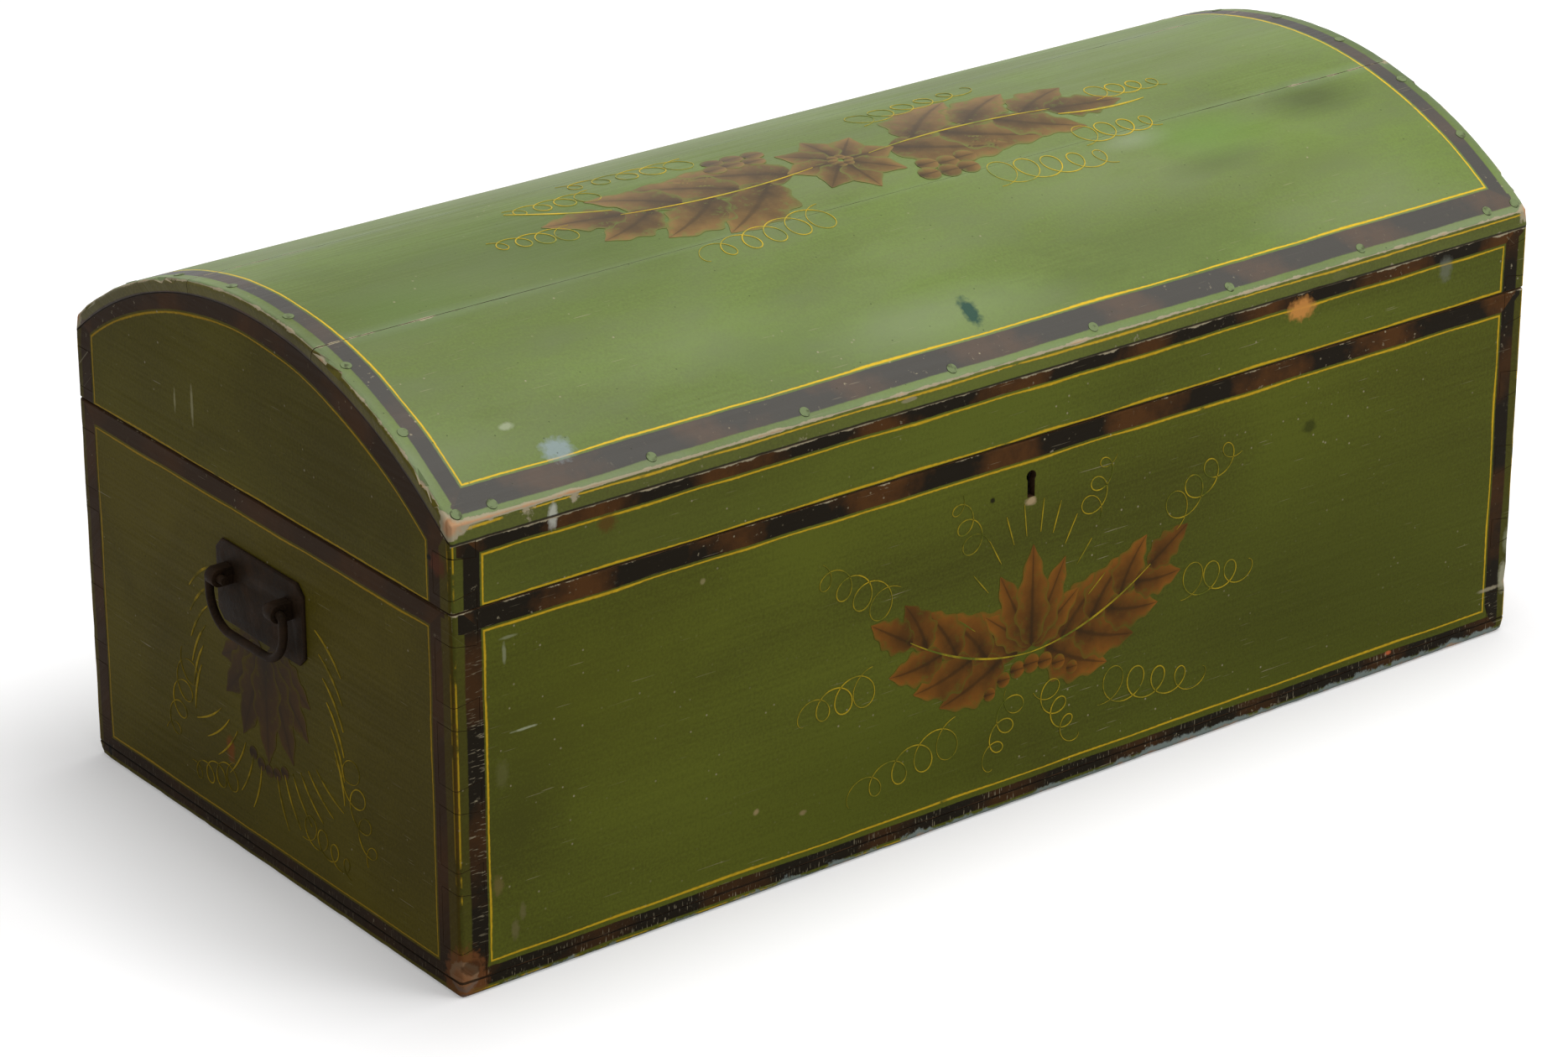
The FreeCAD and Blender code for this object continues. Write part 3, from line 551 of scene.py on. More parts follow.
    # Wear at the arrises: ragged, up to 2 mm wide, first to the pale ground, or to an older blue coat
    # at the foot, and then to the wood
    gnawed = add("TexNoise", {"Vector": mm, "Scale": 1 / 15, "Detail": 7.0, "Roughness": 0.68})
    gnawed = add("MapRange", [gnawed, 0.45, 0.8, -0.3, 2.0])
    exposed = add("Math.SUBTRACT", [gnawed, arris])
    worn = add("MapRange", [exposed, -0.2, 0.3])
    to_wood = add("MapRange", [exposed, 0.9, 2.2])
    at_foot = add("MapRange", [height, CASE_LOW, CASE_LOW + 1.0, 1.0, 0.0])
    ground = add("Mix", {0: at_foot, 6: colours.primer, 7: colours.old_blue})
    worn_colour = add("Mix", {0: to_wood, 6: ground, 7: wood})
    surface = add("Mix", {0: worn, 6: paint, 7: worn_colour})

    # Dirt rubbed into the worn spots, and a dark line 0.7 mm wide in the joints, partly dirt and partly a painted
    # shadow under the dome's edge
    surface = blotted(add, mm, ragged, surface, DIRT, 1.25)
    joint_dirt_and_shadow = add("Math.MULTIPLY_ADD", [ragged, 0.5, joints.outputs["Y"]])
    joint_dirt_and_shadow = add("MapRange", [joint_dirt_and_shadow, 0.6, 1.1, 0.88, 0.0])
    surface = add("Mix", {0: joint_dirt_and_shadow, 6: surface, 7: linear("#140f09")})
    surface = add("Mix", {0: painted, 6: grimy, 7: surface})

    # Satin paint, dull wood; the relief is brush streaks, pores, chips, growth rings and lost paint
    intact = add("Math.SUBTRACT", [1.0, worn])
    intact = add("Math.MULTIPLY", [intact, painted])
    satin = add("MapRange", [streaks, 0.3, 0.7, 0.4, 0.56])
    rough = add("MapRange", [intact, 0.0, 1.0, 0.8, satin])
    pores = add("TexNoise", {"Vector": mm, "Scale": 1 / 1.2, "Detail": 2.0})
    relief = add("Math.MULTIPLY_ADD", [streaks, 0.5, intact])
    relief = add("Math.MULTIPLY_ADD", [pores, 0.35, relief])
    relief = add("Math.MULTIPLY_ADD", [pale, -0.5, relief])
    relief = add("Math.MULTIPLY_ADD", [ringed, 0.25, relief])
    bump = add("Bump", {"Strength": 0.35, "Distance": 0.0004, "Height": relief})
    return finished(made, add, surface, rough, sheen, Normal=bump)


def blackened_iron():
    """Wrought iron, blackened and then rusted: hammered in dints of about 9 mm, pitted, and brown in patches."""
    made, add = new_material("blackened_wrought_iron")
    mm = millimetres(add)
    dints = add("TexNoise", {"Vector": mm, "Scale": 1 / 9, "Detail": 2.0})
    pits = add("TexNoise", {"Vector": mm, "Scale": 1 / 1.3, "Detail": 5.0, "Roughness": 0.65})
    patches = add("TexNoise", {"Vector": mm, "Scale": 1 / 14, "Detail": 7.0, "Roughness": 0.65})
    rust = add("MapRange", [patches, 0.45, 0.7, 0.0, 0.9])
    skin = add("ValToRGB", [pits], stops=[(0.3, linear("#1a130d")), (0.7, linear("#33271c"))])
    surface = add("Mix", {0: rust, 6: skin, 7: linear("#3a2a1d")})
    rough = add("MapRange", [pits, 0.3, 0.7, 0.45, 0.7])
    relief = add("Math.MULTIPLY_ADD", [pits, 0.3, dints])
    bump = add("Bump", {"Strength": 0.5, "Distance": 0.0008, "Height": relief})
    return finished(made, add, surface, rough, 0.04, Normal=bump)


def filed_iron():
    """Filed lock and hinge iron: grey, with file marks 0.8 mm apart, dulled and freckled with rust."""
    made, add = new_material("filed_lock_iron")
    mm = millimetres(add)
    drawn = add("VectorMath.MULTIPLY", [mm, (1 / 25, 1 / 0.8, 1 / 0.8)])
    marks = add("TexNoise", {"Vector": drawn, "Scale": 1.0, "Detail": 3.0})
    patches = add("TexNoise", {"Vector": mm, "Scale": 1 / 6, "Detail": 8.0, "Roughness": 0.7})
    rust = add("MapRange", [patches, 0.48, 0.66, 0.0, 0.95])
    skin = add("ValToRGB", [marks], stops=[(0.3, linear("#4c4742")), (0.7, linear("#7a736a"))])
    surface = add("Mix", {0: rust, 6: skin, 7: linear("#5a3620")})
    bare = add("MapRange", [rust, 0.0, 0.95, 0.95, 0.1])
    rough = add("MapRange", [patches, 0.35, 0.65, 0.38, 0.75])
    bump = add("Bump", {"Strength": 0.3, "Distance": 0.0002, "Height": marks})
    return finished(made, add, surface, rough, Metallic=bare, Normal=bump)


def painted_nail():
    """Nail heads painted over with the dome's green, rubbed to rusty iron at the rims."""
    made, add = new_material("painted_over_nail_iron")
    mm = millimetres(add)
    patches = add("TexNoise", {"Vector": mm, "Scale": 1 / 4, "Detail": 4.0})
    bare = add("MapRange", [patches, 0.5, 0.66, 0.0, 0.8])
    # The dome's green with some of its bloom, lighter partly as painted light and sheen
    surface = add("Mix", {0: bare, 6: linear("#707e55"), 7: linear("#3f402b")})
    rough = add("MapRange", [bare, 0.0, 0.9, 0.5, 0.7])
    bump = add("Bump", {"Strength": 0.4, "Distance": 0.0003, "Height": patches})
    return finished(made, add, surface, rough, 0.14, Normal=bump)


# Spots that are rubbed or broken down to the wood: where, how far they reach and how deep they go
WORN_SPOTS = [
    (Vector((-HALF_LENGTH, -HALF_DEPTH, DOME_EDGE)), 11.0, 1.4),
    (Vector((HALF_LENGTH, -HALF_DEPTH, DOME_EDGE)), 8.0, 1.0),
    (Vector((-HALF_LENGTH, -HALF_DEPTH, 0.0)), 4.0, 0.8),
    (Vector((-HALF_LENGTH + 3, -HALF_DEPTH + 2, 13.0)), 12.0, 0.6),
    (Vector((HALF_LENGTH, -HALF_DEPTH, 0.0)), 5.0, 0.8),
    (Vector((HALF_LENGTH, -HALF_DEPTH, 33.0)), 5.0, 0.9),
    (Vector((-HALF_LENGTH, HALF_DEPTH, DOME_EDGE)), 10.0, 1.4),
    (Vector((HALF_LENGTH, HALF_DEPTH, 0.0)), 5.0, 0.8),
]
CORNER_ROUND = 2.6
FOOT_ROUND = 7.0

# The broken second line: how far it is from an upright corner and from the floor, and how near a corner it turns up
CORNER_LINE_LONG = 1.9
CORNER_LINE_END = 2.6
FOOT_LINE = 2.4
FOOT_LINE_TURNS = 5.0

# How far apart two boards' grain lies in its noise
BOARD_APART = 7.3

# How far wear is held back from the edges that meet another board
TOP_SPARED = 0.3
FOOT_SPARED = 0.6
SEAM_SPARED = 0.5
END_SPARED = 0.3
RIM_SPARED = 1.0
ARCH_SPARED = 0.25

# How far wear is pushed on from the open edges, along the dome's rim and the rail more by the left end, and how fast
# it dies away up the foot
RIM_WEAR, RIM_WEAR_LEFT, RIM_WEAR_RUN = 0.8, 2.2, 90
RAIL_WEAR, RAIL_WEAR_LEFT, RAIL_WEAR_FADE = 0.8, 0.3, 3
FOOT_WEAR, FOOT_WEAR_RIGHT = 0.5, 0.85
FOOT_SLOPE, FOOT_SLOPE_END, RIM_SLOPE, SPOT_SLOPE = 0.36, 0.6, 1.6, 0.6
DOME_END_WEAR = 1.5
ARCH_WEAR = 0.9
JOINT_WEAR, JOINT_CLOSED = 0.2, 3.6

# The share of a worn spot that is bare, and the arris distance of what isn't painted
SPOT_BARE = 0.8
UNPAINTED = 10 * FAR_INSIDE

# The keyhole's walls are darkened near black this far from its middle
KEYHOLE = front_place(3.5, 199.5)
KEYHOLE_REACH = 17.5


def only(piece):
    """Selects one object alone and makes it the active one."""
    bpy.ops.object.select_all(action="DESELECT")
    piece.select_set(True)
    bpy.context.view_layer.objects.active = piece
    return piece


def copy_of(node, name):
    """A new object with a copy of a CAD node's mesh, merged, with its flat faces whole again."""
    mesh = frame["nodes"][node].data.copy()
    mesh.name = name
    mesh.materials.clear()
    piece = bpy.data.objects.new(name, mesh)
    bpy.context.scene.collection.objects.link(piece)
    only(piece)
    bpy.ops.mesh.customdata_custom_splitnormals_clear()
    bpy.ops.object.mode_set(mode="EDIT")
    bpy.ops.mesh.select_all(action="SELECT")
    bpy.ops.mesh.remove_doubles(threshold=1e-6)
    bpy.ops.mesh.dissolve_limited(angle_limit=math.radians(0.5))
    bpy.ops.object.mode_set(mode="OBJECT")
    return piece


def stand_for(piece, node, material):
    """Gives a finished piece its material, and lets it move with the node's body and stand for it."""
    piece.data.materials.append(material)
    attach(piece, frame["nodes"][node]["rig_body"])
    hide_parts(node)


def between(low, high, step):
    """Places a step apart, and closer by the two ends, where the corners are rounded."""
    count = max(1, round((high - low) / step))
    near = [0.8, 1.8, 3.2]
    even = [low + (high - low) * i / count for i in range(1, count)]
    return [low + part for part in near] + even + [high - part for part in near]


def cut_planes(node, step):
    """Planes that divide a board finely along its arrises, as a point in metres and a normal."""
    low, high = box_mm(node)
    planes = []
    if "end" in node:
        planes += [((0, y, 0), (0, 1, 0)) for y in between(low.y, high.y, step)]
    else:
        planes += [((x, 0, 0), (1, 0, 0)) for x in between(low.x, high.x, step)]
    if node.startswith("dome"):
        angles = [math.atan2(y, z - DOME_CENTRE) for y, z in ((low.y, low.z), (high.y, low.z), (low.y, high.z))]
        turns = max(1, round((max(angles) - min(angles)) * DOME_RADIUS / step))
        angles = np.linspace(min(angles), max(angles), turns + 1)[1:-1]
        planes += [((0, 0, DOME_CENTRE), (0, math.cos(a), -math.sin(a))) for a in angles]
    elif node == "bottom_board":
        planes += [((0, y, 0), (0, 1, 0)) for y in between(low.y, high.y, step)]
        foot_cuts = (2.0, 4.5)
        planes += [((0, 0, z), (0, 0, 1)) for z in foot_cuts]
    else:
        heights = between(low.z, high.z, 2 * step)
        planes += [((0, 0, z), (0, 0, 1)) for z in heights]
    return [(Vector(point) * MM, Vector(normal)) for point, normal in planes]


def facing_out(centres, normals):
    """How squarely each polygon faces out of the dome's curve, from -1 to 1."""
    angle = np.arctan2(centres[:, 1], centres[:, 2] - DOME_CENTRE)
    return normals[:, 1] * np.sin(angle) + normals[:, 2] * np.cos(angle)


def kinds_of(node, centres, normals):
    """What paint each polygon carries, by the face it is near and is turned to."""
    near = 2.5
    turned = 0.25
    turned_up = 0.45
    x, y, z = centres.T
    out_long = normals[:, 1] * np.sign(y)
    out_end = normals[:, 0] * np.sign(x)
    on_long = (np.abs(y) > HALF_DEPTH - near) & (out_long > turned) & (out_long >= out_end)
    on_end = (np.abs(x) > HALF_LENGTH - near) & (out_end > turned) & (out_end > out_long)
    kinds = np.full(len(centres), BARE)
    if node == "bottom_board":
        kinds[on_long] = FOOT_LONG
        kinds[on_end] = FOOT_END
        return kinds
    lid = not node.startswith("body")
    kinds[on_long] = LONG_LID if lid else LONG_CASE
    kinds[on_end] = END_LID if lid else END_CASE
    if node.startswith("dome"):
        kinds[on_long] = DOME_RIM
        facing = facing_out(centres, normals)
        on_dome = (facing > turned_up) & (np.hypot(y, z - DOME_CENTRE) > DOME_RADIUS - near)
        kinds[on_dome & (facing > out_end) & (facing > out_long)] = DOME
    return kinds


def joint_shows(points):
    """How far a joint between dome boards stands open: closed in the middle of the box, and open by its ends."""
    closed_to = 170
    opens_over = 130
    return np.clip((np.abs(points[:, 0]) - closed_to) / opens_over, 0, 1)


def paint_layout(node, seed, points, kinds, sizes):
    """For each corner of a polygon, four rows of three: how far in from the side and the rise line it is, and how far
    the band reaches; whether it is painted, how far it is from an arris and its tone; how far it is from the corner
    line and a joint, and the gap beside the line; and its place along and across the grain, and its board."""
    x, y, z = np.abs(points[:, 0]), np.abs(points[:, 1]), points[:, 2]
    s = {name: getattr(sizes, name) / MM for name in sizes.__annotations__}
    far = np.full(len(points), FAR_INSIDE)
    rightward = (points[:, 0] + HALF_LENGTH) / (2 * HALF_LENGTH)
    from_end = HALF_LENGTH - x
    from_long = HALF_DEPTH - y
    arc = DOME_RADIUS * (DOME_ANGLE - np.arctan2(y, z - DOME_CENTRE))
    under_arch = DOME_RADIUS - np.hypot(y, z - DOME_CENTRE)
    above_seam = z - LID_LOW
    below_rail = RAIL_TOP - z

    # Lines and bands
    long_side = from_end - s["long_side"]
    end_side = from_long - np.where(points[:, 1] < 0, s["end_front"], s["end_back"])
    top_rise = CASE_TOP - z - s["case_top"]
    foot_rise = z - CASE_LOW - s["case_foot"]
    case_rise = np.minimum(top_rise, foot_rise)
    arch_line = s["arch"] - s["arch_lean"] * points[:, 1] / HALF_DEPTH
    arch_rise = under_arch - arch_line
    end_rise = np.minimum(arch_rise, above_seam - s["seam"])
    case_band = np.where(foot_rise < top_rise, s["foot_band"], FAR_INSIDE)
    arch_band = np.where(arch_rise < above_seam, arch_line - s["arch_strip"], FAR_INSIDE)
    dome_side = from_end - s["dome_side"]
    dome_rise = arc - s["dome_front"]
    gap = s["band_gap"]
    at_foot = (foot_rise < top_rise) & (foot_rise < long_side)
    foot_gap = np.where(at_foot, s["foot_gap"] * (1 + 0.8 * rightward), gap)
    long_corner = from_end - CORNER_LINE_LONG
    end_corner = from_long - CORNER_LINE_END

    # Arrises
    case_edges = np.minimum(CASE_TOP - z + TOP_SPARED, z - CASE_LOW + FOOT_SPARED)
    seam_edge = above_seam + SEAM_SPARED
    foot_seam = CASE_LOW - z + FOOT_SPARED
    foot_wear = FOOT_WEAR + FOOT_WEAR_RIGHT * np.clip(2.4 * rightward - 0.35, 0, 1)
    foot_line = np.where(from_end < FOOT_LINE_TURNS, long_corner, z - FOOT_LINE)
    rim_wear = RIM_WEAR + RIM_WEAR_LEFT * np.exp(-(points[:, 0] + HALF_LENGTH) / RIM_WEAR_RUN)
    rail_wear = RAIL_WEAR + RAIL_WEAR_LEFT * np.exp(-RAIL_WEAR_FADE * rightward)
    at_joint = np.abs(y - DOME_JOINT) + JOINT_CLOSED * (1 - joint_shows(points)) - JOINT_WEAR
    rail_edge = np.minimum(from_end, np.minimum(below_rail - rail_wear, seam_edge))
    rim_edge = np.minimum(from_end, np.minimum(RIM_SLOPE * (DOME_EDGE - z) - rim_wear, z - RAIL_TOP + RIM_SPARED))
    dome_edge = np.minimum(np.minimum(from_end - DOME_END_WEAR, arc - rim_wear), at_joint)
    arch_edge = np.minimum(from_long, np.minimum(under_arch - ARCH_WEAR, seam_edge))
    inside = np.minimum(np.minimum(from_end, from_long), np.maximum(under_arch, 0))
    inside = np.where(np.linalg.norm(points - np.array(KEYHOLE), axis=1) < KEYHOLE_REACH, 0.0, inside)

    def either(side, rise, beside, along):
        return np.where(side < rise, beside, along)

    rows = {
        BARE: (far, far, 0, 0, inside, TONE_LONG, far, far, 0),
        LONG_CASE: (long_side, case_rise, either(long_side, case_rise, s["long_band"], case_band), 1,
                    np.minimum(from_end, case_edges), TONE_LONG, long_corner, z - CASE_LOW, foot_gap),
        LONG_LID: (long_side, np.minimum(below_rail - s["rail_top"], above_seam - s["seam"]),
                   either(long_side, below_rail - s["rail_top"], s["long_band"], FAR_INSIDE), 1,
                   rail_edge, TONE_LONG_LID, long_corner, below_rail, gap),
        DOME_RIM: (far, DOME_EDGE - z - s["rim_line"], 0, 1, rim_edge, TONE_LONG_LID, far, z - RAIL_TOP, gap),
        END_CASE: (end_side, case_rise, either(end_side, case_rise, s["end_band"], case_band), 1,
                   np.minimum(from_long, case_edges + END_SPARED), TONE_END, end_corner, z - CASE_LOW, gap),
        END_LID: (end_side, end_rise, either(end_side, end_rise, s["end_band"], arch_band), 1,
                  arch_edge, TONE_END_LID, either(under_arch, DOME_BOARD, far, end_corner),
                  np.abs(under_arch - DOME_BOARD) + ARCH_SPARED, gap),
        DOME: (dome_side, dome_rise, either(dome_side, dome_rise, s["dome_band"], s["dome_front_band"]), 1,
               dome_edge, TONE_DOME, far, far, gap),
        FOOT_LONG: (long_side, foot_rise, either(long_side, foot_rise, s["long_band"], s["foot_band"]), 1,
                    np.minimum(FOOT_SLOPE * z - foot_wear, foot_seam), TONE_LONG, foot_line, CASE_LOW - z, foot_gap),
        FOOT_END: (end_side, foot_rise, either(end_side, foot_rise, s["end_band"], s["foot_band"]), 1,
                   np.minimum(FOOT_SLOPE_END * z, foot_seam), TONE_END, end_corner, CASE_LOW - z, gap),
    }
    chosen = [kinds == kind for kind in rows]
    columns = [np.select(chosen, values) for values in zip(*rows.values())]
    arris_column = 4
    for spot, reach, _ in WORN_SPOTS:
        distance = np.linalg.norm(points - np.array(spot), axis=1)
        from_bare = SPOT_SLOPE * (distance - SPOT_BARE * reach)
        columns[arris_column] = np.minimum(columns[arris_column], from_bare)
    if "end" in node:
        along, across = points[:, 1], points[:, 2] + points[:, 0]
    elif node.startswith("dome"):
        along, across = points[:, 0], DOME_RADIUS * np.arctan2(points[:, 1], z - DOME_CENTRE) + under_arch
    else:
        along, across = points[:, 0], points[:, 2] + points[:, 1]
    columns += [along, across, np.full(len(points), BOARD_APART * seed)]
    return [np.column_stack(columns[first:first + 3]) for first in (0, 3, 6, 9)]


def worn_round(points, corner, radii, share=1.0):
    """Presses points by a corner of two faces onto a round; corner has each face's axis, its side and its place."""
    reach = [np.maximum(0.0, (side * points[:, axis] - place) / radius + 1)
             for (axis, side, place), radius in zip(corner, radii)]
    out = np.maximum(1.0, np.hypot(*reach))
    for (axis, side, place), radius, part in zip(corner, radii, reach):
        points[:, axis] += side * radius * share * part * (1 / out - 1)


def round_corners(points):
    """Rounds the upright corners, more at the foot, and the two low corners that were knocked off."""
    upright = CORNER_ROUND + (FOOT_ROUND - CORNER_ROUND) * np.clip(1 - points[:, 2] / CASE_LOW, 0, 1)
    for end in (-1, 1):
        for side in (-1, 1):
            worn_round(points, ((0, end, HALF_LENGTH), (1, side, HALF_DEPTH)), (upright, upright))
    back_left_run, back_left_radii = 80, (12.0, 17.0)
    by_left = np.clip(1 - (points[:, 0] + HALF_LENGTH) / back_left_run, 0, 1)
    worn_round(points, ((1, 1, HALF_DEPTH), (2, -1, 0.0)), back_left_radii, by_left)
    front_right_run, front_right_radii = 40, (11.0, 7.0)
    by_front = np.clip(1 - (points[:, 1] + HALF_DEPTH) / front_right_run, 0, 1)
    worn_round(points, ((0, 1, HALF_LENGTH), (2, -1, 0.0)), front_right_radii, by_front)


def draw_back(node, kinds, centres, normals):
    """Polygons that are drawn back from another board: the dovetails, and the dome boards' edges and undersides."""
    edge_on, seated_from, slack, clear = 0.2, 0.8, 0.05, 0.5
    x, y, z = centres.T
    hidden = kinds == BARE
    if node == "bottom_board":
        return np.zeros_like(hidden)
    if node.startswith("dome"):
        facing = facing_out(centres, normals)
        beside = (np.abs(facing) < edge_on) & (np.abs(normals[:, 0]) < edge_on)
        seated = (facing < -seated_from) & ((np.abs(y) > INNER_Y) | (np.abs(x) > INNER_X))
        return hidden & (beside | seated)
    low, high = box_mm(node)
    in_corner = (np.abs(x) > INNER_X - slack) & (np.abs(y) > INNER_Y - slack)
    return hidden & in_corner & (z > low.z + clear) & (z < high.z - clear)


def values_of(items, name, width=3, kind=float):
    """One property of a mesh's vertices, polygons or corners, as an array with a row for each of them."""
    values = np.zeros(len(items) * width, kind)
    items.foreach_get(name, values)
    return values.reshape(-1, width) if width > 1 else values


def wear_down(mesh, vertex_arris, drawn, sizes):
    """Hollows the arrises and the planed faces by noise of several spans, and draws the joints back by a hairline."""
    points = values_of(mesh.vertices, "co") / MM
    normals = values_of(mesh.vertices, "normal")
    reach = sizes.wear_reach / MM
    depth = sizes.wear_depth / MM
    uneven = sizes.unevenness / MM
    planed, gnawed, splintered, crumbled = 55, 13, 5, 4
    for index in np.nonzero(vertex_arris < UNPAINTED)[0]:
        place = Vector(points[index])
        hollow = uneven * (0.5 + 0.5 * noise.noise(place / planed))
        edge = max(0.0, 1 - max(0.0, vertex_arris[index]) / reach)
        hollow += depth * edge * max(0.0, noise.noise(place / gnawed) + 0.4 * noise.noise(place / splintered))
        for spot, spread, sink in WORN_SPOTS:
            share = max(0.0, 1 - (place - spot).length / spread)
            hollow += sink * share * (0.7 + 0.6 * noise.noise(place / crumbled))
        points[index] -= normals[index] * hollow
    closed = 0.15
    pull = np.zeros_like(points)
    for polygon in np.nonzero(drawn)[0]:
        pull[list(mesh.polygons[polygon].vertices)] += np.array(mesh.polygons[polygon].normal)
    size = np.linalg.norm(pull, axis=1, keepdims=True)
    gap = sizes.joint_gap / MM * np.divide(pull, size, out=np.zeros_like(pull), where=size > 0)
    on_dome = (points[:, 2] > DOME_EDGE) & (np.abs(points[:, 1]) < INNER_Y)
    points -= gap * np.where(on_dome, closed + (1 - closed) * joint_shows(points), 1.0)[:, None]
    round_corners(points)
    mesh.vertices.foreach_set("co", (points * MM).ravel())
    mesh.update()


class DOMEBOX_OT_boards(bpy.types.Operator):
    """Dresses the boards: worn arrises, hairline joints and the paint's layout"""

    bl_idname = "domebox.boards"
    bl_label = "Painted boards"

    slots = {"bottom": "worn_pine_bottom", "body": "painted_pine_case",
             "lid": "painted_pine_lid", "dome": "painted_pine_dome"}
    sheens = {"frame": 0.03, "dome": 0.13}
    smooth_to = 32

    def execute(self, context):
        sizes = context.scene.domebox_sizes
        colours = context.scene.domebox_colours
        materials = {part: painted_pine(colours, sizes, part, sheen) for part, sheen in self.sheens.items()}
        boards = ("body_", "lid_", "dome_", "bottom_board")
        nodes = sorted(node for node in frame["nodes"] if node.startswith(boards) and node != "dome_nails")
        for seed, node in enumerate(nodes):
            piece = copy_of(node, node + "_painted")
            self.divide(node, sizes.mesh_step / MM)
            self.lay_out(piece.data, node, seed, sizes)
            bpy.ops.object.shade_smooth_by_angle(angle=math.radians(self.smooth_to))
            part = "dome" if node.startswith("dome") else "frame"
            stand_for(piece, node, materials[part])
        return {"FINISHED"}

    def divide(self, node, step):
        """Cuts the active board finely along its arrises."""
        bpy.ops.object.mode_set(mode="EDIT")
        for point, normal in cut_planes(node, step):
            bpy.ops.mesh.select_all(action="SELECT")
            bpy.ops.mesh.bisect(plane_co=point, plane_no=normal)
        bpy.ops.object.mode_set(mode="OBJECT")

    def lay_out(self, mesh, node, seed, sizes):
        """Lays the paint's attributes on the corners of a board's polygons, and wears the board down."""
        centres = values_of(mesh.polygons, "center") / MM
        normals = values_of(mesh.polygons, "normal")
        totals = values_of(mesh.polygons, "loop_total", 1, int)
        owner = values_of(mesh.loops, "vertex_index", 1, int)
        kinds = kinds_of(node, centres, normals)
        corner_kinds = np.repeat(kinds, totals)
        places = values_of(mesh.vertices, "co")[owner] / MM
        made = paint_layout(node, seed, places, corner_kinds, sizes)
        for name, values in zip(("layout", "finish", "joints", "grain"), made):
            attribute = mesh.attributes.new(name, "FLOAT_VECTOR", "CORNER")
            attribute.data.foreach_set("vector", values.astype(np.float32).ravel())
        vertex_arris = np.full(len(mesh.vertices), UNPAINTED)
        shown = corner_kinds != BARE
        np.minimum.at(vertex_arris, owner[shown], made[1][shown, 1])
        wear_down(mesh, vertex_arris, draw_back(node, kinds, centres, normals), sizes)


def heading(degrees):
    """A step of one at an angle."""
    return Vector((math.cos(math.radians(degrees)), math.sin(math.radians(degrees))))


def bow(start, degrees, run, bend):
    """A route that sets out at an angle and bends to its left as it goes."""
    ahead = heading(degrees)
    left = heading(degrees + 90)
    return lambda t: start + ahead * (run * t) + left * (bend * t * t)


def coil(start, degrees, run, radius, turns):
    """A route of pen loops that runs on as it turns, and dwindles to its end."""
    ahead = heading(degrees)

    def route(t):
        size = radius * (1 - 0.45 * t)
        return start + ahead * (run * t) + heading(degrees - 90 + 360 * turns * t) * size

    return route


def leaf_width(half, lobes):
    """Half the width along a leaf, with lobed edges."""
    return lambda t: half * math.sin(math.pi * min(1.0, max(0.0, t)) ** 0.72) ** 0.85 * (
        1 + 0.13 * math.sin(2 * math.pi * lobes * t))


def pen_width(half):
    """Half the width along a pen stroke, thin at both ends."""
    return lambda t: half * (0.35 + 0.65 * math.sin(math.pi * min(1.0, max(0.0, t))))


def disc_width(radius):
    """Half the width across a disc."""
    return lambda t: radius * math.sqrt(max(0.0, 1 - (2 * t - 1) ** 2))


# How far to either side of a place on a route its direction is taken
STROKE_NUDGE = 0.002


def stroke(route, half_width, steps, across):
    """Adds a grid and lays it along a route, in panel millimetres."""
    bpy.ops.object.select_all(action="DESELECT")
    bpy.ops.mesh.primitive_grid_add(x_subdivisions=steps, y_subdivisions=across, size=1.0, calc_uvs=True)
    made = bpy.context.active_object
    for vertex in made.data.vertices:
        t = vertex.co.x + 0.5
        ahead = route(t + STROKE_NUDGE) - route(t - STROKE_NUDGE)
        side = Vector((-ahead.y, ahead.x)).normalized()
        vertex.co.xy = route(t) + side * (2 * vertex.co.y * half_width(t))
    return made


def leaf(start, degrees, run, half, bend=0.0, lobes=4):
    """A leaf that sets out at an angle."""
    return stroke(bow(start, degrees, run, bend), leaf_width(half, lobes), 28, 6)


def berry(middle, radius):
    """A round berry."""
    return stroke(bow(middle - Vector((radius, 0)), 0, 2 * radius, 0), disc_width(radius), 12, 4)


def pen(route, half=0.5, steps=24):
    """A pen stroke along a route."""
    return stroke(route, pen_width(half), steps, 1)


def loops(start, degrees, run, radius, turns):
    """Penwork along a coil: a tendril."""
    return pen(coil(Vector(start), degrees, run, radius, turns), 0.33, int(30 * turns))


def sprig(start, degrees, run, bend, count, size):
    """A stem with leaves to either side and one at its tip: the leaves, and the penwork of the stem."""
    lean = 44
    stem = bow(start, degrees, run, bend)
    leaves = []
    for index in range(count):
        t = 0.12 + 0.74 * index / (count - 1)
        ahead = stem(t + 0.01) - stem(t - 0.01)
        turn = math.degrees(math.atan2(ahead.y, ahead.x))
        side = 1 if index % 2 else -1
        run = size * (1.05 - 0.42 * t)
        leaves.append(leaf(stem(t), turn + side * lean, run, 0.31 * run, -side * 0.2 * run))
    ahead = stem(1.0) - stem(0.97)
    leaves.append(leaf(stem(0.98), math.degrees(math.atan2(ahead.y, ahead.x)), 0.7 * size, 0.2 * size))
    return leaves, [pen(stem, 0.65, 30)]


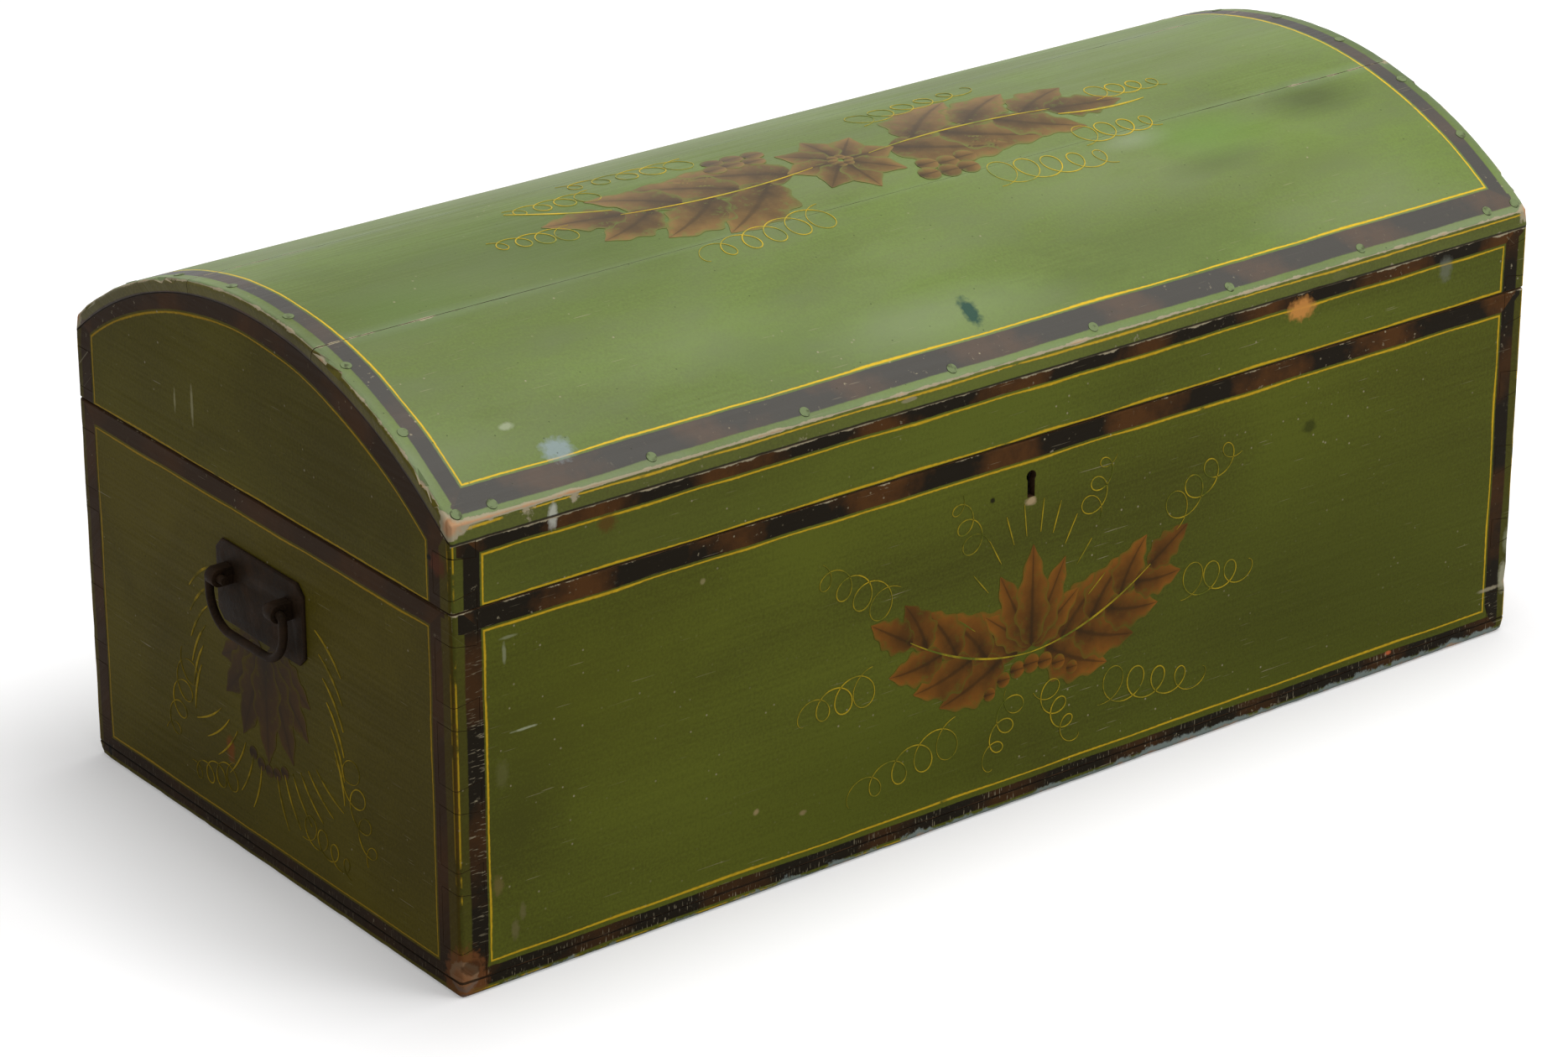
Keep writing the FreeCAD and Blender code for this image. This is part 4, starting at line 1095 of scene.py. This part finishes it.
def front_ornament():
    """Two sprigs that part to left and right, upright leaves and a row of berries between them."""
    middle = Vector((6.0, 92.0))
    right, right_pen = sprig(middle, 2, 88, 27, 7, 50)
    left, left_pen = sprig(middle, 178, 88, -27, 7, 50)
    fan = [(38, 44, 10), (142, 44, 10), (64, 54, 11), (116, 54, 11), (90, 62, 12)]
    leaves = right + left + [leaf(middle + Vector((0, 4)), turn, run, half) for turn, run, half in fan]
    leaves += [berry(middle + Vector((x, -7 - 0.012 * x * x)), 6.0 - 0.06 * abs(x)) for x in range(-30, 31, 10)]
    penwork = right_pen + left_pen
    tendrils = [(112, 104, -6, 50, 11.5, 3.5), (100, 148, 32, 60, 11.5, 4), (40, 164, 66, 38, 9.0, 3),
                (52, 56, -12, 78, 12.0, 4.5), (10, 70, -62, 46, 9.0, 3.5)]
    for side in (-1, 1):
        def at(x, z):
            return (middle.x + side * x, z)

        out = 0 if side > 0 else 180
        penwork += [loops(at(x, z), out + side * turn, *curl) for x, z, turn, *curl in tendrils]
        penwork += [pen(bow(Vector(at(5 + 9 * i, 164 - 3 * i * i)), 90 - side * (6 + 11 * i), 20 - i, 0.0), 0.36, 8)
                    for i in range(5)]
    return leaves, penwork


def end_ornament():
    """A fan of leaves that hangs below the handle, with feather strokes and loops."""
    middle = Vector((2.0, 138.0))
    fan = [(206, 46, 12), (334, 46, 12), (226, 56, 13), (314, 56, 13), (248, 64, 14), (292, 64, 14), (270, 68, 14)]
    leaves = [leaf(middle + heading(turn) * 4, turn, run, half) for turn, run, half in fan]
    leaves += [berry(middle + Vector((x, -76 + 0.02 * x * x)), 4.0) for x in (-16, -8, 0, 8, 16)]
    penwork = []
    for side in (-1, 1):
        def at(x, z):
            return Vector((middle.x + side * x, z))

        penwork += [pen(bow(at(52 + 3 * i, 166 - 13 * i), 270 + side * (66 - 7 * i), 30, side * -8.0), 0.8, 16)
                    for i in range(6)]
        penwork += [pen(bow(at(8 + 8 * i, 62 + 4 * i), 270 + side * (6 + 8 * i), 30, side * 7.0), 0.6, 14)
                    for i in range(6)]
        penwork.append(loops(at(78, 100), 270 + side * 24, 60, 11.0, 4))
        penwork.append(loops(at(34, 44), 270 + side * 76, 48, 9.0, 4))
    return leaves, penwork


def dome_ornament():
    """A rosette between two long sprigs, with berries and loops."""
    middle = Vector((2.0, -16.0))
    right, right_pen = sprig(middle + Vector((20, 0)), 9, 128, -24, 6, 72)
    left, left_pen = sprig(middle - Vector((20, 0)), 189, 128, -24, 6, 72)
    leaves = right + left
    leaves += [leaf(middle + heading(turn) * 6, turn, 32, 11, 0.0, 2) for turn in range(0, 360, 45)]
    leaves += [berry(middle + heading(turn) * 5, 3.4) for turn in range(0, 360, 60)]
    penwork = right_pen + left_pen
    bunch = ((0, 0), (13, -3), (7, -12), (20, -13), (26, -2), (-6, -10))
    tendrils = [(66, -54, -8, 82, 12.5, 5), (140, -40, -4, 58, 11.0, 4), (46, 50, 4, 92, 12.0, 5.5),
                (184, 2, -8, 52, 10.0, 4)]
    for side in (-1, 1):
        def at(x, v):
            return (middle.x + side * x, middle.y + side * v)

        out = 0 if side > 0 else 180
        leaves += [berry(Vector(at(40 + x, -28 + v)), 7.0) for x, v in bunch]
        penwork += [loops(at(x, v), out + turn, *curl) for x, v, turn, *curl in tendrils]
        penwork.append(pen(bow(Vector(at(150, -12)), out - 20, 58, side * 14.0), 0.9, 20))
    return leaves, penwork


# What the ornament lies on: the bronze's light and dark brown there, how thin the yellow is, and the sheen
# The bronze is darker on the ends and lighter on the dome, partly as painted shade and light
GROUNDS = {
    "front": ("#895720", "#3d2b16", 0.36, 0.03),
    "end": ("#4f3718", "#2f210f", 0.36, 0.03),
    "dome": ("#86683a", "#41331f", 0.1, 0.12),
}


def stencil_bronze(colours, panel):
    """Bronze powder stencilled on varnish: dark brown at a leaf's base and rib, lighter at its edge, rubbed thin."""
    made, add = new_material("stencilled_bronze_powder_" + panel)
    light, dark = (linear(code) for code in GROUNDS[panel][:2])
    sheen = GROUNDS[panel][3]
    ground = [0.55 * fresh + 0.45 * deep
              for fresh, deep in zip(getattr(colours, panel), getattr(colours, panel + "_deep"))]
    mm = millimetres(add)
    across = add("SeparateXYZ", [add("UVMap", uv_map="UVMap")])
    side = add("Math.SUBTRACT", [across.outputs["Y"], 0.5])
    side = add("Math.ABSOLUTE", [side])
    smoke = add("TexNoise", {"Vector": mm, "Scale": 1 / 9, "Detail": 5.0, "Roughness": 0.6})
    shade = add("Math.MULTIPLY_ADD", [side, 1.3, across.outputs["X"]])
    shade = add("Math.MULTIPLY_ADD", [smoke, 0.9, shade])
    shade = add("MapRange", [shade, 0.55, 1.75])
    powder = add("Mix", {0: shade, 6: dark, 7: light})
    breadth = add("TexNoise", {"Vector": mm, "Scale": 1 / 48, "Detail": 2.0})
    sooty = add("MapRange", [breadth, 0.5, 0.66, 0.0, 0.65])
    powder = add("Mix", {0: sooty, 6: powder, 7: dark})
    rib = add("MapRange", [side, 0.02, 0.06, 0.55, 0.0])
    powder = add("Mix", {0: rib, 6: powder, 7: dark})
    rubbed = add("TexNoise", {"Vector": mm, "Scale": 1 / 5, "Detail": 7.0, "Roughness": 0.68})
    rubbed = add("Math.MULTIPLY_ADD", [side, 0.35, rubbed])
    rubbed = add("MapRange", [rubbed, 0.62, 0.82, 0.0, 0.7])
    faint = add("Math.MULTIPLY_ADD", [smoke, 0.2, side])
    faint = add("MapRange", [faint, 0.48, 0.62, 0.0, 0.8])
    rubbed = add("Math.MAXIMUM", [rubbed, faint])
    surface = add("Mix", {0: rubbed, 6: powder, 7: ground})
    rough = add("MapRange", [rubbed, 0.0, 0.8, 0.42, 0.55])
    bump = add("Bump", {"Strength": 0.2, "Distance": 0.0003, "Height": smoke})
    return finished(made, add, surface, rough, sheen, Normal=bump)


def yellow_penwork(colours, panel):
    """Thin yellow oil paint laid with a liner brush, faded and broken where the surface was rubbed."""
    made, add = new_material("yellow_liner_paint_" + panel)
    thin, sheen = GROUNDS[panel][2:]
    mm = millimetres(add)
    fade = add("TexNoise", {"Vector": mm, "Scale": 1 / 18, "Detail": 6.0, "Roughness": 0.65})
    fade = add("MapRange", [fade, 0.4, 0.68, 0.1, 0.85])
    fade = add("Math.ADD", [fade, thin], use_clamp=True)
    surface = add("Mix", {0: fade, 6: colours.line, 7: getattr(colours, panel)})
    rough = add("MapRange", [fade, 0.0, 1.0, 0.45, 0.55])
    return finished(made, add, surface, rough, sheen)


class DOMEBOX_OT_ornament(bpy.types.Operator):
    """Lays the stencilled leaves and the yellow penwork on the front, the ends and the dome"""

    bl_idname = "domebox.ornament"
    bl_label = "Painted ornament"

    sunk = 0.05

    def execute(self, context):
        sizes = context.scene.domebox_sizes
        colours = context.scene.domebox_colours
        bronze = {panel: stencil_bronze(colours, panel) for panel in GROUNDS}
        yellow = {panel: yellow_penwork(colours, panel) for panel in GROUNDS}
        panels = [
            ("front", "front", front_ornament, front_place, "case", "painted_pine_case"),
            ("left_end", "end", end_ornament, left_end_place, "case", "painted_pine_case"),
            ("right_end", "end", end_ornament, right_end_place, "case", "painted_pine_case"),
            ("dome", "dome", dome_ornament, dome_place, "lid", "painted_pine_dome"),
        ]
        for name, panel, design, place, body, slot in panels:
            leaves, penwork = design()
            step = sizes.film_step / MM
            lifts = [sizes.film_lift / MM + step * index for index in range(len(leaves) + len(penwork))]
            films = ((leaves, "_leaves", lifts[:len(leaves)], bronze),
                     (penwork, "_penwork", lifts[len(leaves):], yellow))
            for strokes, ending, heights, paints in films:
                piece = self.film(strokes, heights, name + ending, place)
                piece.data.materials.append(paints[panel])
                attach(piece, body)
        return {"FINISHED"}

    def film(self, strokes, heights, name, place):
        """Joins strokes, each a little above the last, into one film of paint that reaches down into the board."""
        bpy.ops.object.select_all(action="DESELECT")
        for made, height in zip(strokes, heights):
            made.select_set(True)
            for vertex in made.data.vertices:
                vertex.co.z = height
        bpy.context.view_layer.objects.active = strokes[0]
        bpy.ops.object.join()
        piece = only(strokes[0])
        piece.name = name
        piece.data.name = name
        for vertex in piece.data.vertices:
            vertex.co = place(*vertex.co) * MM
        thick = piece.modifiers.new("thick", "SOLIDIFY")
        thick.thickness = (heights[-1] + self.sunk) * MM
        thick.offset = -1.0
        bpy.ops.object.modifier_apply(modifier=thick.name)
        return piece


class DOMEBOX_OT_ironwork(bpy.types.Operator):
    """Finishes the handles, hinges, lock, screws and nails"""

    bl_idname = "domebox.ironwork"
    bl_label = "Ironwork"

    rounding = 0.6
    sharp_from = 40

    def execute(self, context):
        black = blackened_iron()
        filed = filed_iron()
        nail = painted_nail()
        for node, cad in frame["nodes"].items():
            if "handle" in node or "bail" in node:
                piece = copy_of(node, node + "_forged")
                bevel = piece.modifiers.new("rounding", "BEVEL")
                bevel.width = self.rounding * MM
                bevel.segments = 2
                bevel.limit_method = "ANGLE"
                bevel.angle_limit = math.radians(self.sharp_from)
                bpy.ops.object.modifier_apply(modifier=bevel.name)
                bpy.ops.object.shade_smooth_by_angle(angle=math.radians(self.sharp_from))
                stand_for(piece, node, black)
            elif node.startswith(("left_hinge", "right_hinge", "hinge", "lock", "link")):
                self.give(cad, filed)
            elif node == "dome_nails":
                self.give(cad, nail)
            elif node == "bottom_nails":
                self.give(cad, black)
        return {"FINISHED"}

    def give(self, cad, material):
        """Gives a CAD node that stays as it is its material."""
        cad.data.materials.clear()
        cad.data.materials.append(material)


def in_view(add):
    """One for what the lens sees straight, in metal or through glass, and nought for light on the object."""
    ray = add("LightPath")
    seen = add("Math.MAXIMUM", [ray.outputs["Is Camera Ray"], ray.outputs["Is Glossy Ray"]])
    return add("Math.MAXIMUM", [seen, ray.outputs["Is Transmission Ray"]])


class DOMEBOX_OT_stage(bpy.types.Operator):
    """Sets the pale floor, the soft lamps, the world and the camera"""

    bl_idname = "domebox.stage"
    bl_label = "Stage"

    def execute(self, context):
        scene = context.scene
        scene.view_settings.view_transform = "Standard"
        self.floor()
        self.world(scene)
        self.lamp("overhead", place=(0.4, -0.3, 2.6), target=(0.0, 0.0, 0.2), size=2.4, watts=48.0)
        self.lamp("front_fill", place=(1.5, -2.5, 1.9), target=(0.1, 0.0, 0.15), size=1.8, watts=33.0)
        self.camera(scene)
        return {"FINISHED"}

    def floor(self):
        """A pale floor that looks nearly white to the lens, and glows less to it by the box as a painted shadow.
        Distances in metres.
        """
        floor_size = 16.0
        painted_shadow_reach, painted_shadow_glow, open_glow = 0.13, 0.3, 0.56
        far_from, far_to, far_glow = 0.6, 4.0, 0.4
        bpy.ops.object.select_all(action="DESELECT")
        bpy.ops.mesh.primitive_plane_add(size=floor_size)
        floor = bpy.context.active_object
        floor.name = "pale_floor"
        made, add = new_material("pale_studio_paper")
        seen = in_view(add)
        shade = add("Mix", {0: seen, 6: linear("#bcbbbb"), 7: linear("#dad9d9")})
        matt = add("BsdfPrincipled", {"Base Color": shade, "Roughness": 0.9, "Specular IOR Level": 0.1})
        spot = add("VectorMath.ABSOLUTE", [add("TexCoord").outputs["Object"]])
        spot = add("VectorMath.SUBTRACT", [spot, (HALF_LENGTH * MM, HALF_DEPTH * MM, 0.0)])
        spot = add("VectorMath.MAXIMUM", [spot, (0.0, 0.0, 0.0)])
        apart = add("VectorMath.LENGTH", [spot]).outputs["Value"]
        # Painted shadow: near the box the floor glows less to the lens, deepening the lamps' shadow
        lift = add("MapRange", [apart, 0.0, painted_shadow_reach, painted_shadow_glow, open_glow])
        far_lift = add("MapRange", [apart, far_from, far_to, 0.0, far_glow])
        lift = add("Math.ADD", [lift, far_lift])
        lift = add("Math.MULTIPLY", [seen, lift])
        glow = add("Emission", {"Strength": lift})
        both = add("AddShader", [matt, glow])
        add("OutputMaterial", {"Surface": both})
        floor.data.materials.append(made)

    def world(self, scene):
        scene.world = bpy.data.worlds.new("studio_white")
        scene.world.use_nodes = True
        scene.world.node_tree.nodes.clear()
        add = partial(add_node, scene.world.node_tree)
        strength = add("MapRange", [in_view(add), 0.0, 1.0, 0.3, 1.0])
        light = add("Background", {"Color": linear("#ffffff"), "Strength": strength})
        add("OutputWorld", {"Surface": light})

    def lamp(self, name, place, target, size, watts):
        bpy.ops.object.light_add(type="AREA", location=place)
        lamp = bpy.context.active_object
        lamp.name = name
        lamp.data.shape = "DISK"
        lamp.data.size = size
        lamp.data.energy = watts
        lamp.rotation_euler = (Vector(target) - Vector(place)).to_track_quat("-Z", "Y").to_euler()

    def camera(self, scene):
        """The photograph's camera, as fitted to the corners of the box: its distance in metres, its lens in mm."""
        distance = 3.0725
        lens = 121.08
        azimuth = math.radians(-37.436)
        elevation = math.radians(23.805)
        target = Vector((-0.0172, 0.0115, 0.1045))
        level = math.cos(elevation)
        away = Vector((math.sin(azimuth) * level, -math.cos(azimuth) * level, math.sin(elevation)))
        bpy.ops.object.camera_add(location=target + distance * away)
        camera = bpy.context.active_object
        camera.rotation_euler = (-away).to_track_quat("-Z", "Y").to_euler()
        camera.data.lens = lens
        camera.data.sensor_width = 36.0
        scene.camera = camera


class DOMEBOX_PT_panel(bpy.types.Panel):
    """Lists the box's operators, sizes and colours"""

    bl_idname = "DOMEBOX_PT_panel"
    bl_label = "Dome-top box"
    bl_space_type = "VIEW_3D"
    bl_region_type = "UI"
    bl_category = "Dome-top box"

    def draw(self, context):
        for operator in OPERATORS:
            self.layout.operator(operator.bl_idname)
        for group in (context.scene.domebox_sizes, context.scene.domebox_colours):
            for name in group.__annotations__:
                self.layout.prop(group, name)


OPERATORS = (DOMEBOX_OT_boards, DOMEBOX_OT_ornament, DOMEBOX_OT_ironwork, DOMEBOX_OT_stage)
CLASSES = (PaintSizes, PaintColours, *OPERATORS, DOMEBOX_PT_panel)


def register():
    for cls in CLASSES:
        bpy.utils.register_class(cls)
    bpy.types.Scene.domebox_sizes = bpy.props.PointerProperty(type=PaintSizes)
    bpy.types.Scene.domebox_colours = bpy.props.PointerProperty(type=PaintColours)


def unregister():
    del bpy.types.Scene.domebox_colours
    del bpy.types.Scene.domebox_sizes
    for cls in reversed(CLASSES):
        bpy.utils.unregister_class(cls)


def main():
    register()
    bpy.ops.domebox.boards()
    bpy.ops.domebox.ornament()
    bpy.ops.domebox.ironwork()
    bpy.ops.domebox.stage()
    bpy.context.view_layer.update()


if __name__ == "__main__":
    main()
